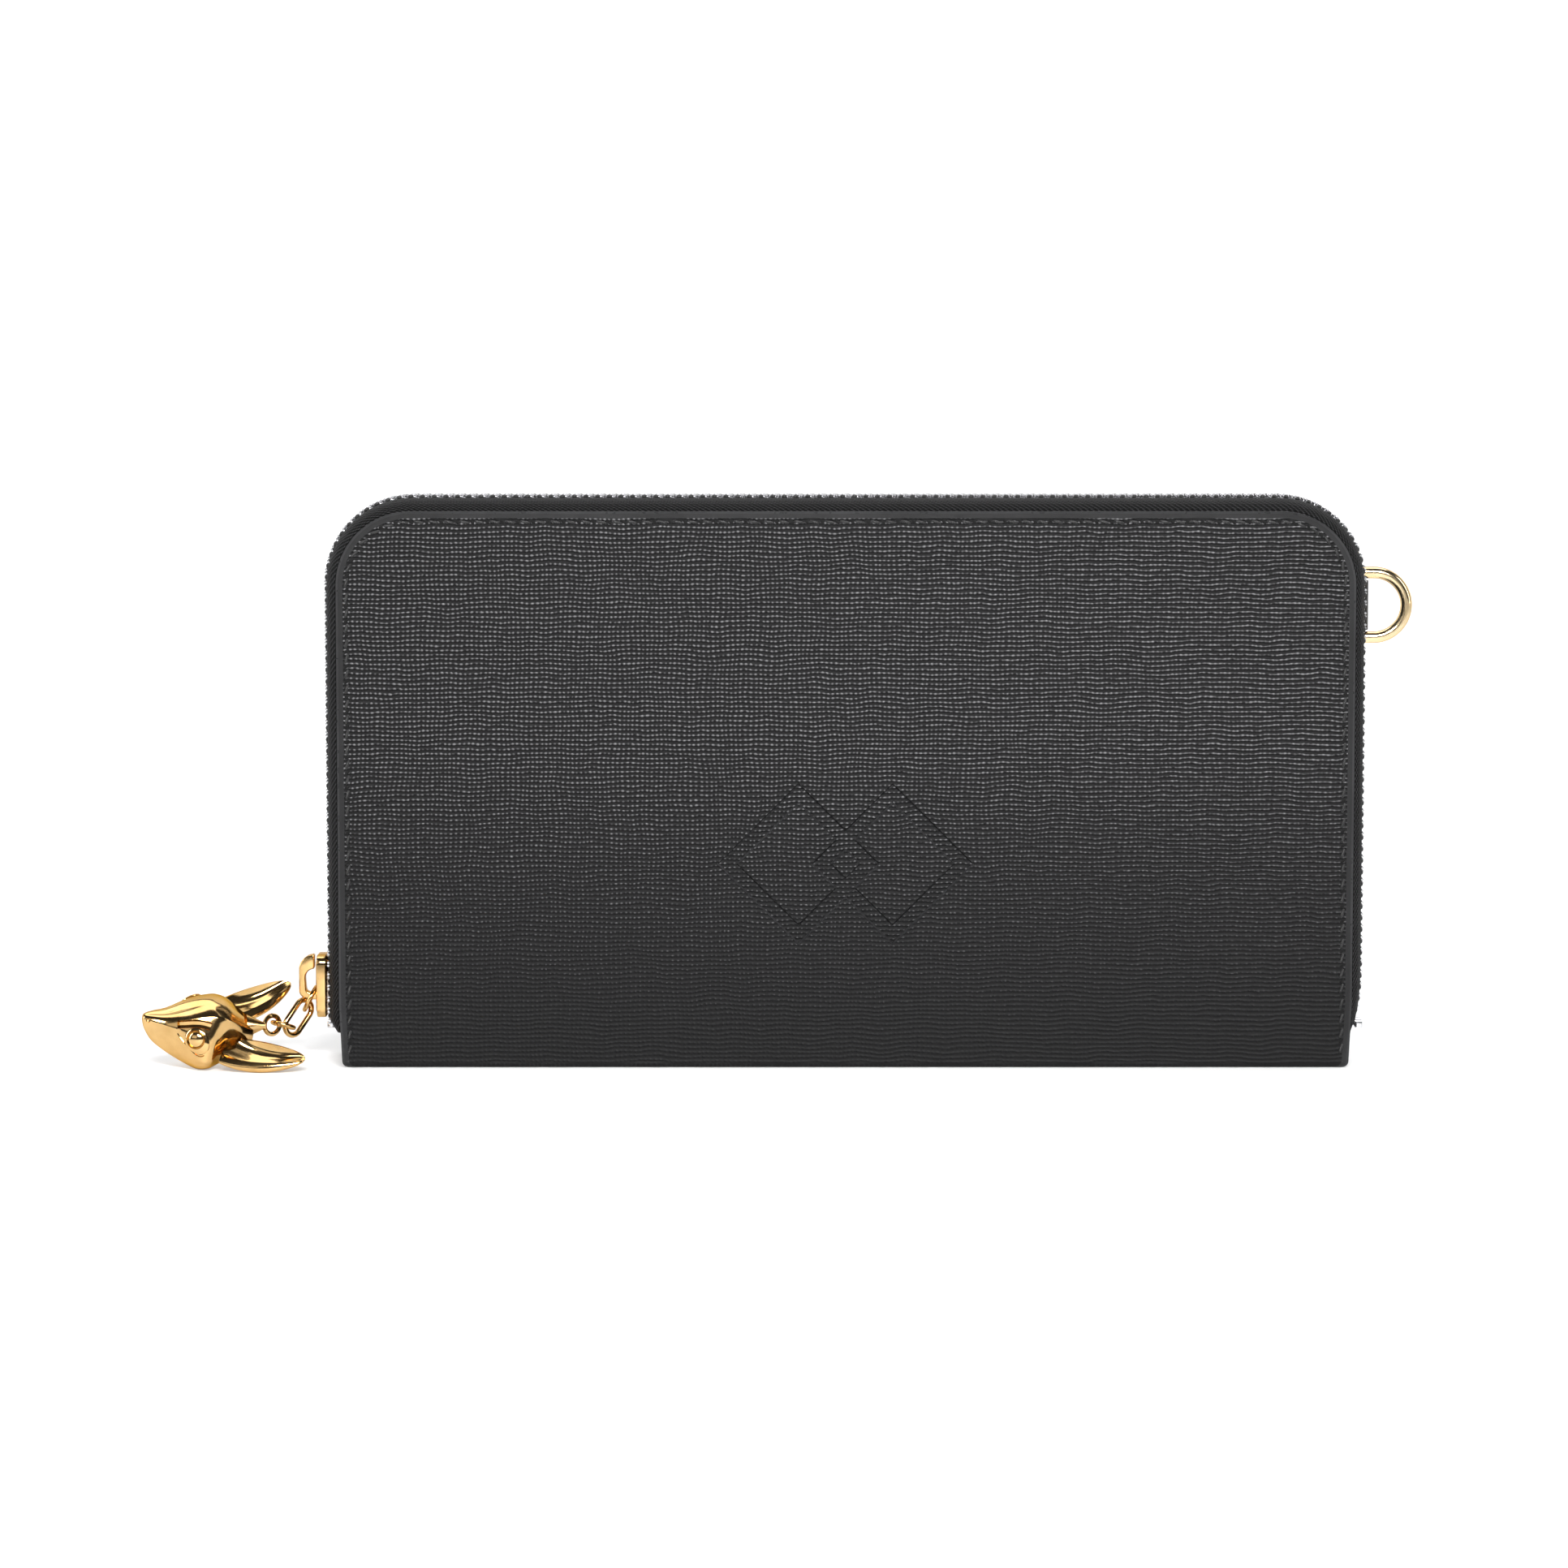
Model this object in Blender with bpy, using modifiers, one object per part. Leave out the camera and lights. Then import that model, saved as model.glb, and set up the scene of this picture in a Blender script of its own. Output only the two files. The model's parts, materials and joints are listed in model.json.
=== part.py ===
"""Zip around wallet, standing on its spine: covers, linings, pockets, zip, chain and charm.

+X runs along the wallet, +Y to its back and +Z up. The origin is on the floor, at the middle of the spine's
underside.
"""

import math

import bmesh
import bpy
from mathutils import Matrix, Vector

MM = 0.001
GAP = 0.3 * MM  # left between pieces that touch

# Covers: outline and leather
PANEL_HALF = 97.3 * MM
PANEL_TOP = 107.0 * MM
CORNER_RADIUS = 14.2 * MM
BODY_HALF_DEPTH = 11.0 * MM
LEATHER = 1.2 * MM
SPINE_HALF = 96.6 * MM
FRONT_BOTTOM = 1.6 * MM
BACK_BOTTOM = 2.9 * MM
SPINE_FRONT = -9.6 * MM
SPINE_CORNER = 2.0 * MM  # radius of the fold from spine to back, at the leather's middle

# Layers inside each half, as (inner, outer) distances from the middle plane
BOARD_LAYER = (8.9 * MM, 9.5 * MM)
LINING_LAYER = (7.9 * MM, 8.4 * MM)
BOARD_INSET = 6.3 * MM
LINING_INSET = 2.3 * MM
LINING_BOTTOM = 3.6 * MM
STRIP_THICKNESS = 0.5 * MM
STRIP_OUTER = 7.6 * MM
STRIP_STEP = 0.7 * MM  # from one card strip to the next, towards the middle
STRIP_HALF = 88.0 * MM
STRIP_BOTTOM = 4.0 * MM
STRIP_TOP = 92.0 * MM
STRIP_DROP = 11.0 * MM  # each strip nearer the middle is this much lower
STRIP_CORNER = 3.0 * MM
STRIPS = 3
SPINE_BOARD = (8.2 * MM, 1.5 * MM, 2.1 * MM)  # half depth, underside, top
SPINE_LINING = (7.5 * MM, 2.4 * MM, 2.9 * MM)
SPINE_STEPS = 5  # round the fold from spine to back

# Zip: the tape's section as (outwards from the panel's edge, from the middle plane)
TAPE_SECTION = ((-4.5, 9.2), (-0.2, 9.2), (1.3, 8.0), (2.2, 5.6), (2.6, 2.9))
TAPE_THICKNESS = 0.5 * MM
TAPE_END = 6.6 * MM
TEETH_OUT = (1.6 * MM, 3.1 * MM)
TEETH_LAYER = (0.5 * MM, 2.6 * MM)
STOP_LENGTH = 1.4 * MM
STOP_ROUNDING = 0.25 * MM
TEETH_END = TAPE_END + STOP_LENGTH + GAP
ARC_STEPS = 10
TAB_NOTCH_OUT = (-5.2 * MM, 3.0 * MM)  # the back tape's opening for the tab, from the panel's edge
TAB_NOTCH_LAYER = (6.3 * MM, 10.0 * MM)

# Slider at the foot of the left side
SLIDER_BOTTOM = 8.7 * MM
SLIDER_LENGTH = 12.1 * MM
OUTER_WING = (3.4 * MM, 4.8 * MM, 4.2 * MM)  # from, to, half depth
INNER_WING = (0.2 * MM, 1.2 * MM, 3.4 * MM)
POST_HALF = 0.2 * MM
POST_LENGTH = 3.0 * MM
POST_OVERLAP = 0.5 * MM  # into each wing, and below the top
HOOK_STRAP = 1.3 * MM
HOOK_HALF = 1.1 * MM
HOOK_FOOT = 12.65 * MM
HOOK_X = -PANEL_HALF - OUTER_WING[1] - GAP  # where the hook meets the slider's outer wing
HOOK_REACH = 2.5 * MM  # from there to the strap's outer run
HOOK_BEND = 1.6 * MM  # radius of its foot
HOOK_ARCH = 2.4 * MM  # radius of its top
HOOK_ARCH_UP = 4.6 * MM  # from its foot to the middle of its top's arc
HOOK_STEPS = 5

# Chain from the hook to the charm
RING_1_RADIUS = 2.45 * MM
RING_1_WIRE = 0.45 * MM
RING_1_OUT = 1.1 * MM  # from the hook's plate to where the ring hangs
RING_1_DROP = 0.75 * MM  # its middle lies this far from the middle of the hook's strap
RING_1_TILT = math.radians(27)  # from hanging straight down, towards the charm
LINK_LENGTH = 7.6 * MM  # along the middle of the wire
LINK_WIDTH = 3.7 * MM
LINK_WIRE = 0.55 * MM
LINK_STEPS = 8
LINK_PLAY = 1.2 * GAP  # between the link and the next ring
RING_3_RADIUS = 2.1 * MM
RING_3_WIRE = 0.45 * MM
CHAIN_TURN = math.radians(42)  # the chain's turn from -X towards the front
LINK_SLOPE = math.radians(48)  # below the horizontal
RING_3_SLOPE = math.radians(-19)
LOOP_RADIUS = 1.8 * MM
LOOP_WIRE = 0.45 * MM

# Charm: an animal's head, with its own axes (towards the nose, and from the near cheek to the far one)
NOSE_WAY = Vector((-0.95, -0.25, 0.05)).normalized()
ACROSS_WAY = Vector((-0.2, 0.84, 0.5))
CHARM_REACH = 11.9 * MM  # from the loop's middle to the head's, along the nose's way
CHARM_BACK = 8.6 * MM  # from the head's middle to the root of its stem, inside the head
STEM_OFFSET = 0.6 * MM
STEM_RADIUS = 1.1 * MM
STEM_END = 1.2 * LOOP_WIRE
STEM_SEGMENTS = 10
CHARM_SHIFT = Vector((-0.3 * MM, -1.8 * MM, 0.05 * MM))
HEAD_SEGMENTS, HEAD_RINGS = 20, 14
# Head sections from the nose to the back: along, half width, top, height of the widest line, bottom (mm)
HEAD_SECTIONS = (
    (12.6, 0.8, 0.9, 0.3, -0.6),
    (11.2, 1.9, 1.7, 0.2, -1.6),
    (6.5, 3.7, 2.6, -0.8, -3.2),
    (3.0, 6.6, 4.2, -2.6, -4.9),
    (0.8, 8.8, 5.0, -4.2, -5.4),
    (-2.5, 7.4, 5.2, -3.0, -5.0),
    (-7.0, 5.2, 4.4, -1.4, -3.8),
    (-10.0, 2.8, 2.6, -0.4, -2.2),
)
EAR_ROOT = (-4.0 * MM, 5.0 * MM, 1.2 * MM)  # along, out from the middle and up, in the head's own axes
EAR_TIP = (-16.6 * MM, 12.2 * MM, 0.0)
EAR_ROOT_RADIUS = 3.9 * MM
EAR_TIP_RADIUS = 1.1 * MM
EAR_SEGMENTS = 12
EAR_FLATNESS = 0.36  # its thickness as a share of its width
EAR_SPIN = math.radians(35)  # round its own length

# D-ring and its leather tab, on the right
RING_WIRE = 1.15 * MM
RING_HEIGHT = 12.6 * MM  # between the middles of its two arms
RING_RUN = 3.35 * MM  # straight part of each arm
RING_CORNER = 1.4 * MM
RING_STEPS = 18  # round the bow
RING_CORNER_STEPS = 4
RING_PIVOT = Vector((99.7 * MM, 9.15 * MM, 88.0 * MM))
TAB_LEATHER = 0.8 * MM
TAB_HALF = 4.85 * MM
TAB_BEND = RING_WIRE + GAP + TAB_LEATHER / 2
TAB_START = 92.8 * MM
TAB_SHIFT = 0.05 * MM  # from the ring's middle towards the front
TAB_WRAP = (215, 510)  # degrees round the ring's bar
TAB_STEPS = 16
NOTCH_HALF = 5.7 * MM

# Coin pocket between the halves
COIN_HALF = 84.0 * MM
COIN_WALL_LAYER = 1.15 * MM  # the middle of each wall
COIN_WALL = 0.5 * MM
COIN_BOTTOM = 4.2 * MM
COIN_TOP = 80.0 * MM
COIN_TAPE = (0.4 * MM, 0.75 * MM, 72.0 * MM, 85.0 * MM)  # inner, outer, bottom, top
COIN_TAPE_HALF = COIN_HALF - 2.0 * MM
COIN_TEETH = (0.15 * MM, 1.0 * MM, 85.3 * MM, 86.9 * MM)
COIN_ROW_HALF = 76.0 * MM
COIN_STOP_END = COIN_ROW_HALF + 1.8 * MM
COIN_STOP_ROUNDING = 0.2 * MM
COIN_SEAM_WIDTH = 1.5 * MM
COIN_SEAM_HALF = 0.6 * MM
COIN_SEAM_BOTTOM = COIN_BOTTOM + 2.0 * MM
COIN_FOLD_STEPS = 6
COIN_SLIDER_X = 66.0 * MM
COIN_SLIDER_HALF = 3.5 * MM
COIN_CHANNEL = (1.3 * MM, 1.7 * MM)  # the flanges' inner and outer faces
COIN_CHANNEL_LEVELS = (85.6 * MM, 87.2 * MM, 88.0 * MM)  # foot, underside of the roof, top of the roof
CUT_PAST = 1.0 * MM  # how far a cutter runs past what it cuts
COIN_PIVOT_UP = 89.2 * MM
LUG_HALF = (1.6 * MM, 0.6 * MM)  # half its length and half its width
LUG_ROOT = 0.3 * MM  # how far it runs into the roof
LUG_RISE = 1.3 * MM  # above the pivot
LUG_EYE_HALF = (0.8 * MM, 0.7 * MM)  # half the opening's length and height
PULLER_LENGTH = 15.0 * MM
PULLER_HALF = 1.6 * MM
PULLER_THICKNESS = 0.8 * MM
PULLER_WINDOW = (3.0 * MM, 0.9 * MM)  # length from the pivot, half width

# Gussets: one V fold at each end, its point towards the middle
GUSSET_OUTER = 94.0 * MM
GUSSET_FOLD = 87.0 * MM
GUSSET_LAYER = 7.2 * MM
GUSSET_BOTTOM = 4.0 * MM
GUSSET_TOP = 84.0 * MM
GUSSET_THICKNESS = 0.4 * MM
GUSSET_STEPS = 4  # on each side of the fold
GUSSET_CURVE = 1.3  # 1 folds it sharply, and more rounds it

# Joint axes
COVER_AXIS = Vector((0, -9.5 * MM, 0.8 * MM))

# Finishes: colour, roughness, metallic
FINISHES = {
    "grained_leather": ((0.022, 0.022, 0.024), 0.45, 0.0),
    "lining_cloth": ((0.03, 0.03, 0.032), 0.85, 0.0),
    "board": ((0.25, 0.22, 0.18), 0.9, 0.0),
    "zip_tape": ((0.012, 0.012, 0.013), 0.8, 0.0),
    "zip_metal": ((0.6, 0.6, 0.62), 0.25, 1.0),
    "gold_metal": ((0.83, 0.62, 0.33), 0.15, 1.0),
}


def clear_scene():
    """Removes every object, and makes the two collections."""
    for old in list(bpy.data.objects):
        bpy.data.objects.remove(old, do_unlink=True)
    made = {}
    for name in ("zip_around_wallet", "cutters"):
        made[name] = bpy.data.collections.new(name)
        bpy.context.scene.collection.children.link(made[name])
    return made["zip_around_wallet"], made["cutters"]


PARTS, CUTTERS = clear_scene()


def finish(name):
    """The material of that finish, made the first time it's asked for."""
    material = bpy.data.materials.get(name)
    if material is None:
        colour, roughness, metallic = FINISHES[name]
        material = bpy.data.materials.new(name)
        material.use_nodes = True
        shader = material.node_tree.nodes["Principled BSDF"]
        shader.inputs["Base Color"].default_value = (*colour, 1)
        shader.inputs["Roughness"].default_value = roughness
        shader.inputs["Metallic"].default_value = metallic
        material.diffuse_color = (*colour, 1)
    return material


def add(name, data, finish_name=None):
    """An object with that mesh or curve; without a finish it's a cutter, which isn't a part."""
    obj = bpy.data.objects.new(name, data)
    if finish_name is None:
        CUTTERS.objects.link(obj)
        obj.hide_render = True
        obj.display_type = "WIRE"
    else:
        PARTS.objects.link(obj)
        data.materials.append(finish(finish_name))
    return obj


def mesh_of(name, bm):
    """A mesh from bm, with its normals outwards."""
    bmesh.ops.recalc_face_normals(bm, faces=bm.faces)
    mesh = bpy.data.meshes.new(name)
    bm.to_mesh(mesh)
    bm.free()
    return mesh


def box(name, low, high, finish_name=None, bevel=0.0):
    """A block between two corners, with rounded edges if bevel is given."""
    low, high = Vector(low), Vector(high)
    bm = bmesh.new()
    bmesh.ops.create_cube(bm, size=1)
    bmesh.ops.scale(bm, vec=high - low, verts=bm.verts)
    bmesh.ops.translate(bm, vec=(low + high) / 2, verts=bm.verts)
    obj = add(name, mesh_of(name, bm), finish_name)
    if bevel:
        rounding = obj.modifiers.new("rounded edges", "BEVEL")
        rounding.width = bevel
        rounding.segments = 2
    return obj


def sheet(name, rows, thickness, finish_name):
    """A sheet through rows of points, each row as long as the others, with its thickness on both sides."""
    across, along = len(rows) - 1, len(rows[0]) - 1
    bm = bmesh.new()
    bmesh.ops.create_grid(bm, x_segments=across, y_segments=along, size=1)
    for v in bm.verts:
        i, j = round((v.co.x + 1) / 2 * across), round((v.co.y + 1) / 2 * along)
        v.co = rows[i][j]
    mesh = bpy.data.meshes.new(name)
    bm.to_mesh(mesh)
    bm.free()
    obj = add(name, mesh, finish_name)
    wall = obj.modifiers.new("thickness", "SOLIDIFY")
    wall.thickness = thickness
    wall.offset = 0
    wall.use_even_offset = True
    return obj


def arc(centre, radius, start, end, steps):
    """Points of an arc in a plane, from one angle to another, in degrees."""
    angles = (math.radians(start + (end - start) * k / steps) for k in range(steps + 1))
    return [(centre[0] + radius * math.cos(t), centre[1] + radius * math.sin(t)) for t in angles]


def arch(half, bottom, top, radius, steps=ARC_STEPS):
    """An upside-down U: up the left side, round the top corners and down the right side."""
    left = arc((radius - half, top - radius), radius, 180, 90, steps)
    right = arc((half - radius, top - radius), radius, 90, 0, steps)
    return [(-half, bottom), *left, *right, (half, bottom)]


def panel(name, half, bottom, top, radius, layer, side, finish_name):
    """A flat panel with rounded top corners, lying between the two distances of layer on side -1 or 1."""
    curve = bpy.data.curves.new(name, "CURVE")
    curve.dimensions = "2D"
    curve.fill_mode = "BOTH"
    curve.extrude = (layer[1] - layer[0]) / 2
    outline = arch(half, bottom, top, radius)
    spline = curve.splines.new("POLY")
    spline.points.add(len(outline) - 1)
    for point, (x, z) in zip(spline.points, outline):
        point.co = (x, z, 0, 1)
    spline.use_cyclic_u = True
    obj = add(name, curve, finish_name)
    obj.rotation_euler.x = math.pi / 2
    obj.location.y = side * (layer[0] + layer[1]) / 2
    return obj


def wire(name, points, radius, finish_name):
    """A closed loop of round wire through points."""
    curve = bpy.data.curves.new(name, "CURVE")
    curve.dimensions = "3D"
    curve.bevel_depth = radius
    curve.bevel_resolution = 2
    curve.use_fill_caps = True
    spline = curve.splines.new("POLY")
    spline.points.add(len(points) - 1)
    for point, place in zip(spline.points, points):
        point.co = (*place, 1)
    spline.use_cyclic_u = True
    return add(name, curve, finish_name)


def torus(name, centre, radius, wire_radius, normal, finish_name=None):
    """A ring of round wire about centre, square to normal."""
    bpy.ops.mesh.primitive_torus_add(
        major_radius=radius, minor_radius=wire_radius, major_segments=24, minor_segments=8
    )
    made = bpy.context.active_object
    mesh = made.data
    mesh.transform(Matrix.Translation(centre) @ normal.to_track_quat("Z", "Y").to_matrix().to_4x4())
    bpy.data.objects.remove(made)
    return add(name, mesh, finish_name)


def combine(obj, cutter, operation):
    """Joins or cuts obj with cutter."""
    boolean = obj.modifiers.new(operation.lower() + " " + cutter.name, "BOOLEAN")
    boolean.operation = operation
    boolean.object = cutter


def pivot(name, place, parent=None):
    """An empty on a joint's axis."""
    empty = bpy.data.objects.new(name, None)
    PARTS.objects.link(empty)
    empty.empty_display_size = 5 * MM
    carry([empty], parent)
    empty.location = place
    return empty


def carry(pieces, parent):
    """Pieces stay where they are and move with the parent empty."""
    for piece in pieces:
        piece.parent = parent
        if parent is not None:
            piece.matrix_parent_inverse = Matrix.Translation(-parent.location)


def zip_line(out, bottom):
    """The arch that lies out beyond the panel's edge, from a height up."""
    return arch(PANEL_HALF + out, bottom, PANEL_TOP + out, CORNER_RADIUS + out)


def half_pieces(word, side, bottom):
    """The cover, board, lining and card strips of one half: side is -1 at the front and 1 at the back."""
    pieces = [
        panel(
            word + "_cover", PANEL_HALF, bottom, PANEL_TOP, CORNER_RADIUS,
            (BODY_HALF_DEPTH - LEATHER, BODY_HALF_DEPTH), side, "grained_leather",
        ),
        panel(
            word + "_board", PANEL_HALF - BOARD_INSET, BOARD_INSET, PANEL_TOP - BOARD_INSET,
            CORNER_RADIUS - BOARD_INSET, BOARD_LAYER, side, "board",
        ),
        panel(
            word + "_lining", PANEL_HALF - LINING_INSET, LINING_BOTTOM, PANEL_TOP - LINING_INSET,
            CORNER_RADIUS - LINING_INSET, LINING_LAYER, side, "lining_cloth",
        ),
    ]
    for k in range(STRIPS):
        outer = STRIP_OUTER - k * STRIP_STEP
        pieces.append(
            panel(
                f"{word}_card_strip_{k + 1}", STRIP_HALF, STRIP_BOTTOM, STRIP_TOP - k * STRIP_DROP,
                STRIP_CORNER, (outer - STRIP_THICKNESS, outer), side, "grained_leather",
            )
        )
    return pieces


def zip_pieces(word, side):
    """The tape, the row of teeth and the two end stops of one half."""
    section = [(out * MM, depth * MM) for out, depth in TAPE_SECTION]
    rows = [[Vector((x, side * depth, z)) for x, z in zip_line(out, TAPE_END)] for out, depth in section]
    tape = sheet(word + "_zip_tape", rows, TAPE_THICKNESS, "zip_tape")
    middle = sum(TEETH_OUT) / 2
    rows = [[Vector((x, side * depth, z)) for x, z in zip_line(middle, TEETH_END)] for depth in TEETH_LAYER]
    teeth = sheet(word + "_zip_teeth", rows, TEETH_OUT[1] - TEETH_OUT[0], "zip_metal")
    pieces = [tape, teeth]
    for end, way in (("left", -1), ("right", 1)):
        xs = sorted(way * (PANEL_HALF + out) for out in TEETH_OUT)
        ys = sorted(side * depth for depth in TEETH_LAYER)
        low = (xs[0], ys[0], TAPE_END)
        high = (xs[1], ys[1], TAPE_END + STOP_LENGTH)
        pieces.append(box(f"{word}_{end}_stop", low, high, "zip_metal", bevel=STOP_ROUNDING))
    return pieces


def notch_for_tab(tape):
    """Opens the back tape where the D-ring's tab comes out."""
    low = (PANEL_HALF + TAB_NOTCH_OUT[0], TAB_NOTCH_LAYER[0], RING_PIVOT.z - NOTCH_HALF)
    high = (PANEL_HALF + TAB_NOTCH_OUT[1], TAB_NOTCH_LAYER[1], RING_PIVOT.z + NOTCH_HALF)
    combine(tape, box("tab_notch", low, high), "DIFFERENCE")


def spine_pieces():
    """The fold of leather that the wallet stands on, and its board and lining."""
    middle = LEATHER / 2
    centre = (BODY_HALF_DEPTH - middle - SPINE_CORNER, middle + SPINE_CORNER)
    rise = arc(centre, SPINE_CORNER, -90, 0, SPINE_STEPS)
    section = [(SPINE_FRONT, middle), *rise]
    rows = [[Vector((x, y, z)) for y, z in section] for x in (-SPINE_HALF, SPINE_HALF)]
    cover = sheet("spine_cover", rows, LEATHER, "grained_leather")
    pieces = [cover]
    for name, layer, inset, finish_name in (
        ("spine_board", SPINE_BOARD, BOARD_INSET, "board"),
        ("spine_lining", SPINE_LINING, LINING_INSET, "lining_cloth"),
    ):
        half_depth, low, high = layer
        half = PANEL_HALF - inset
        pieces.append(box(name, (-half, -half_depth, low), (half, half_depth, high), finish_name))
    return pieces


def gussets():
    """A V-folded strip at each end, from half to half, which stops the halves falling wide open."""
    reach = GUSSET_OUTER - GUSSET_FOLD
    section = []
    for k in range(-GUSSET_STEPS, GUSSET_STEPS + 1):
        share = abs(k) / GUSSET_STEPS
        section.append((GUSSET_FOLD + reach * share**GUSSET_CURVE, GUSSET_LAYER * k / GUSSET_STEPS))
    for end, way in (("left", -1), ("right", 1)):
        rows = [[Vector((way * x, y, z)) for x, y in section] for z in (GUSSET_BOTTOM, GUSSET_TOP)]
        sheet(end + "_gusset", rows, GUSSET_THICKNESS, "lining_cloth")


def slider():
    """The slider on the zip, and the open hook that stands on its outer wing."""
    bottom, top = SLIDER_BOTTOM, SLIDER_BOTTOM + SLIDER_LENGTH
    outer_from, outer_to, outer_half = OUTER_WING
    inner_from, inner_to, inner_half = INNER_WING
    body = box(
        "slider_body",
        (-PANEL_HALF - outer_to, -outer_half, bottom),
        (-PANEL_HALF - outer_from, outer_half, top),
        "gold_metal",
    )
    inner = box(
        "slider_inner_wing",
        (-PANEL_HALF - inner_to, -inner_half, bottom),
        (-PANEL_HALF - inner_from, inner_half, top),
    )
    post = box(
        "slider_post",
        (-PANEL_HALF - outer_from - POST_OVERLAP, -POST_HALF, top - POST_LENGTH),
        (-PANEL_HALF - inner_to + POST_OVERLAP, POST_HALF, top - POST_OVERLAP),
    )
    combine(body, post, "UNION")
    combine(body, inner, "UNION")
    strap_out = HOOK_X - HOOK_REACH
    middle = [
        (HOOK_X, HOOK_FOOT),
        *arc((strap_out + HOOK_BEND, HOOK_FOOT + HOOK_BEND), HOOK_BEND, 270, 180, HOOK_STEPS),
        *arc((strap_out + HOOK_ARCH, HOOK_FOOT + HOOK_ARCH_UP), HOOK_ARCH, 180, 112, HOOK_STEPS),
    ]
    rows = [[Vector((x, y, z)) for x, z in middle] for y in (-HOOK_HALF, HOOK_HALF)]
    hook = sheet("slider_bridge", rows, HOOK_STRAP, "gold_metal")
    return [body, hook]


def chain_frame():
    """Where each chain piece lies: a dictionary of places and directions."""
    flat = Vector((-math.cos(CHAIN_TURN), -math.sin(CHAIN_TURN), 0))
    up = Vector((0, 0, 1))
    foot = Vector((HOOK_X - RING_1_OUT, 0, HOOK_FOOT))
    hang = Vector((-math.sin(RING_1_TILT), 0, -math.cos(RING_1_TILT)))
    apex = foot + hang * (HOOK_STRAP / 2 + GAP + LINK_WIRE)
    link_way = flat * math.cos(LINK_SLOPE) - up * math.sin(LINK_SLOPE)
    ring_way = flat * math.cos(RING_3_SLOPE) - up * math.sin(RING_3_SLOPE)
    clear = LINK_WIRE + RING_3_WIRE + LINK_PLAY
    near = apex + link_way * (LINK_LENGTH - clear)
    far = near + ring_way * 2 * RING_3_RADIUS
    loop_near = far - ring_way * (RING_3_WIRE + LOOP_WIRE + GAP)
    return {
        "side": flat.cross(up),
        "foot": foot,
        "hang": hang,
        "ring_1": foot + hang * RING_1_DROP,
        "apex": apex,
        "link_way": link_way,
        "link_end": apex + link_way * LINK_LENGTH,
        "ring_3": (near + far) / 2,
        "ring_way": ring_way,
        "loop": loop_near + flat * LOOP_RADIUS,
        "flat": flat,
    }


def link_points(at):
    """The middle line of the oval link, in the upright plane along the chain."""
    across = at["link_way"].cross(at["side"])
    bend = LINK_WIDTH / 2
    points = []
    for near, start in ((bend, 90), (LINK_LENGTH - bend, -90)):
        for along, sideways in arc((near, 0), bend, start, start + 180, LINK_STEPS):
            points.append(at["apex"] + at["link_way"] * along + across * sideways)
    return points


def chain(at):
    """The ring on the hook, the oval link and the ring on the charm."""
    square = at["hang"].cross(Vector((0, 1, 0)))
    ring_1 = torus("pull_ring_1", at["ring_1"], RING_1_RADIUS, RING_1_WIRE, square, "gold_metal")
    link_2 = wire("pull_link_2", link_points(at), LINK_WIRE, "gold_metal")
    square = at["ring_way"].cross(at["side"])
    ring_3 = torus("pull_ring_3", at["ring_3"], RING_3_RADIUS, RING_3_WIRE, square, "gold_metal")
    return ring_1, link_2, ring_3


def head_point(share, turn):
    """A point of the head in its own axes: share from nose 0 to back 1, turn from the top round a side."""
    spot = share * (len(HEAD_SECTIONS) - 1)
    k = min(int(spot), len(HEAD_SECTIONS) - 2)
    part = spot - k
    mixed = [a + (b - a) * part for a, b in zip(HEAD_SECTIONS[k], HEAD_SECTIONS[k + 1])]
    along, half, top, wide, bottom = mixed
    rise = math.cos(turn)
    height = wide + (top - wide) * max(rise, 0) - (bottom - wide) * min(rise, 0)
    return along, half * math.sin(turn), height


def charm(at):
    """The charm: a head with swept-back ears, and the loop that the chain holds."""
    up_way = ACROSS_WAY.cross(NOSE_WAY).normalized()
    across = NOSE_WAY.cross(up_way)
    middle = at["loop"] + NOSE_WAY * CHARM_REACH + CHARM_SHIFT
    to_world = Matrix.Translation(middle) @ Matrix((NOSE_WAY, across, up_way)).transposed().to_4x4()
    bm = bmesh.new()
    bmesh.ops.create_uvsphere(bm, u_segments=HEAD_SEGMENTS, v_segments=HEAD_RINGS, radius=1)
    for v in bm.verts:
        share = math.acos(max(-1, min(1, v.co.z))) / math.pi
        along, wide, high = head_point(share, math.atan2(v.co.y, v.co.x))
        pinch = 0 if share in (0, 1) else 1
        v.co = Vector((along, wide * pinch, high * pinch)) * MM
    bm.transform(to_world)
    head = add("charm_head", mesh_of("charm_head", bm), "gold_metal")
    for word, side in (("near", -1), ("far", 1)):
        combine(head, ear(word + "_ear", side, to_world), "UNION")
    stem_root = middle - NOSE_WAY * CHARM_BACK + ACROSS_WAY * STEM_OFFSET
    combine(head, stem("charm_stem", stem_root, at["loop"] + at["flat"] * LOOP_RADIUS), "UNION")
    loop = torus("charm_loop", at["loop"], LOOP_RADIUS, LOOP_WIRE, at["side"])
    combine(head, loop, "UNION")
    return head


def stem(name, root, end):
    """A short round bar from inside the head to the loop's wire."""
    bm = bmesh.new()
    bmesh.ops.create_cone(
        bm, cap_ends=True, segments=STEM_SEGMENTS, radius1=STEM_RADIUS, radius2=STEM_END,
        depth=(end - root).length,
    )
    stand = (end - root).to_track_quat("Z", "Y").to_matrix().to_4x4()
    bm.transform(Matrix.Translation((root + end) / 2) @ stand)
    return add(name, mesh_of(name, bm))


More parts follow.
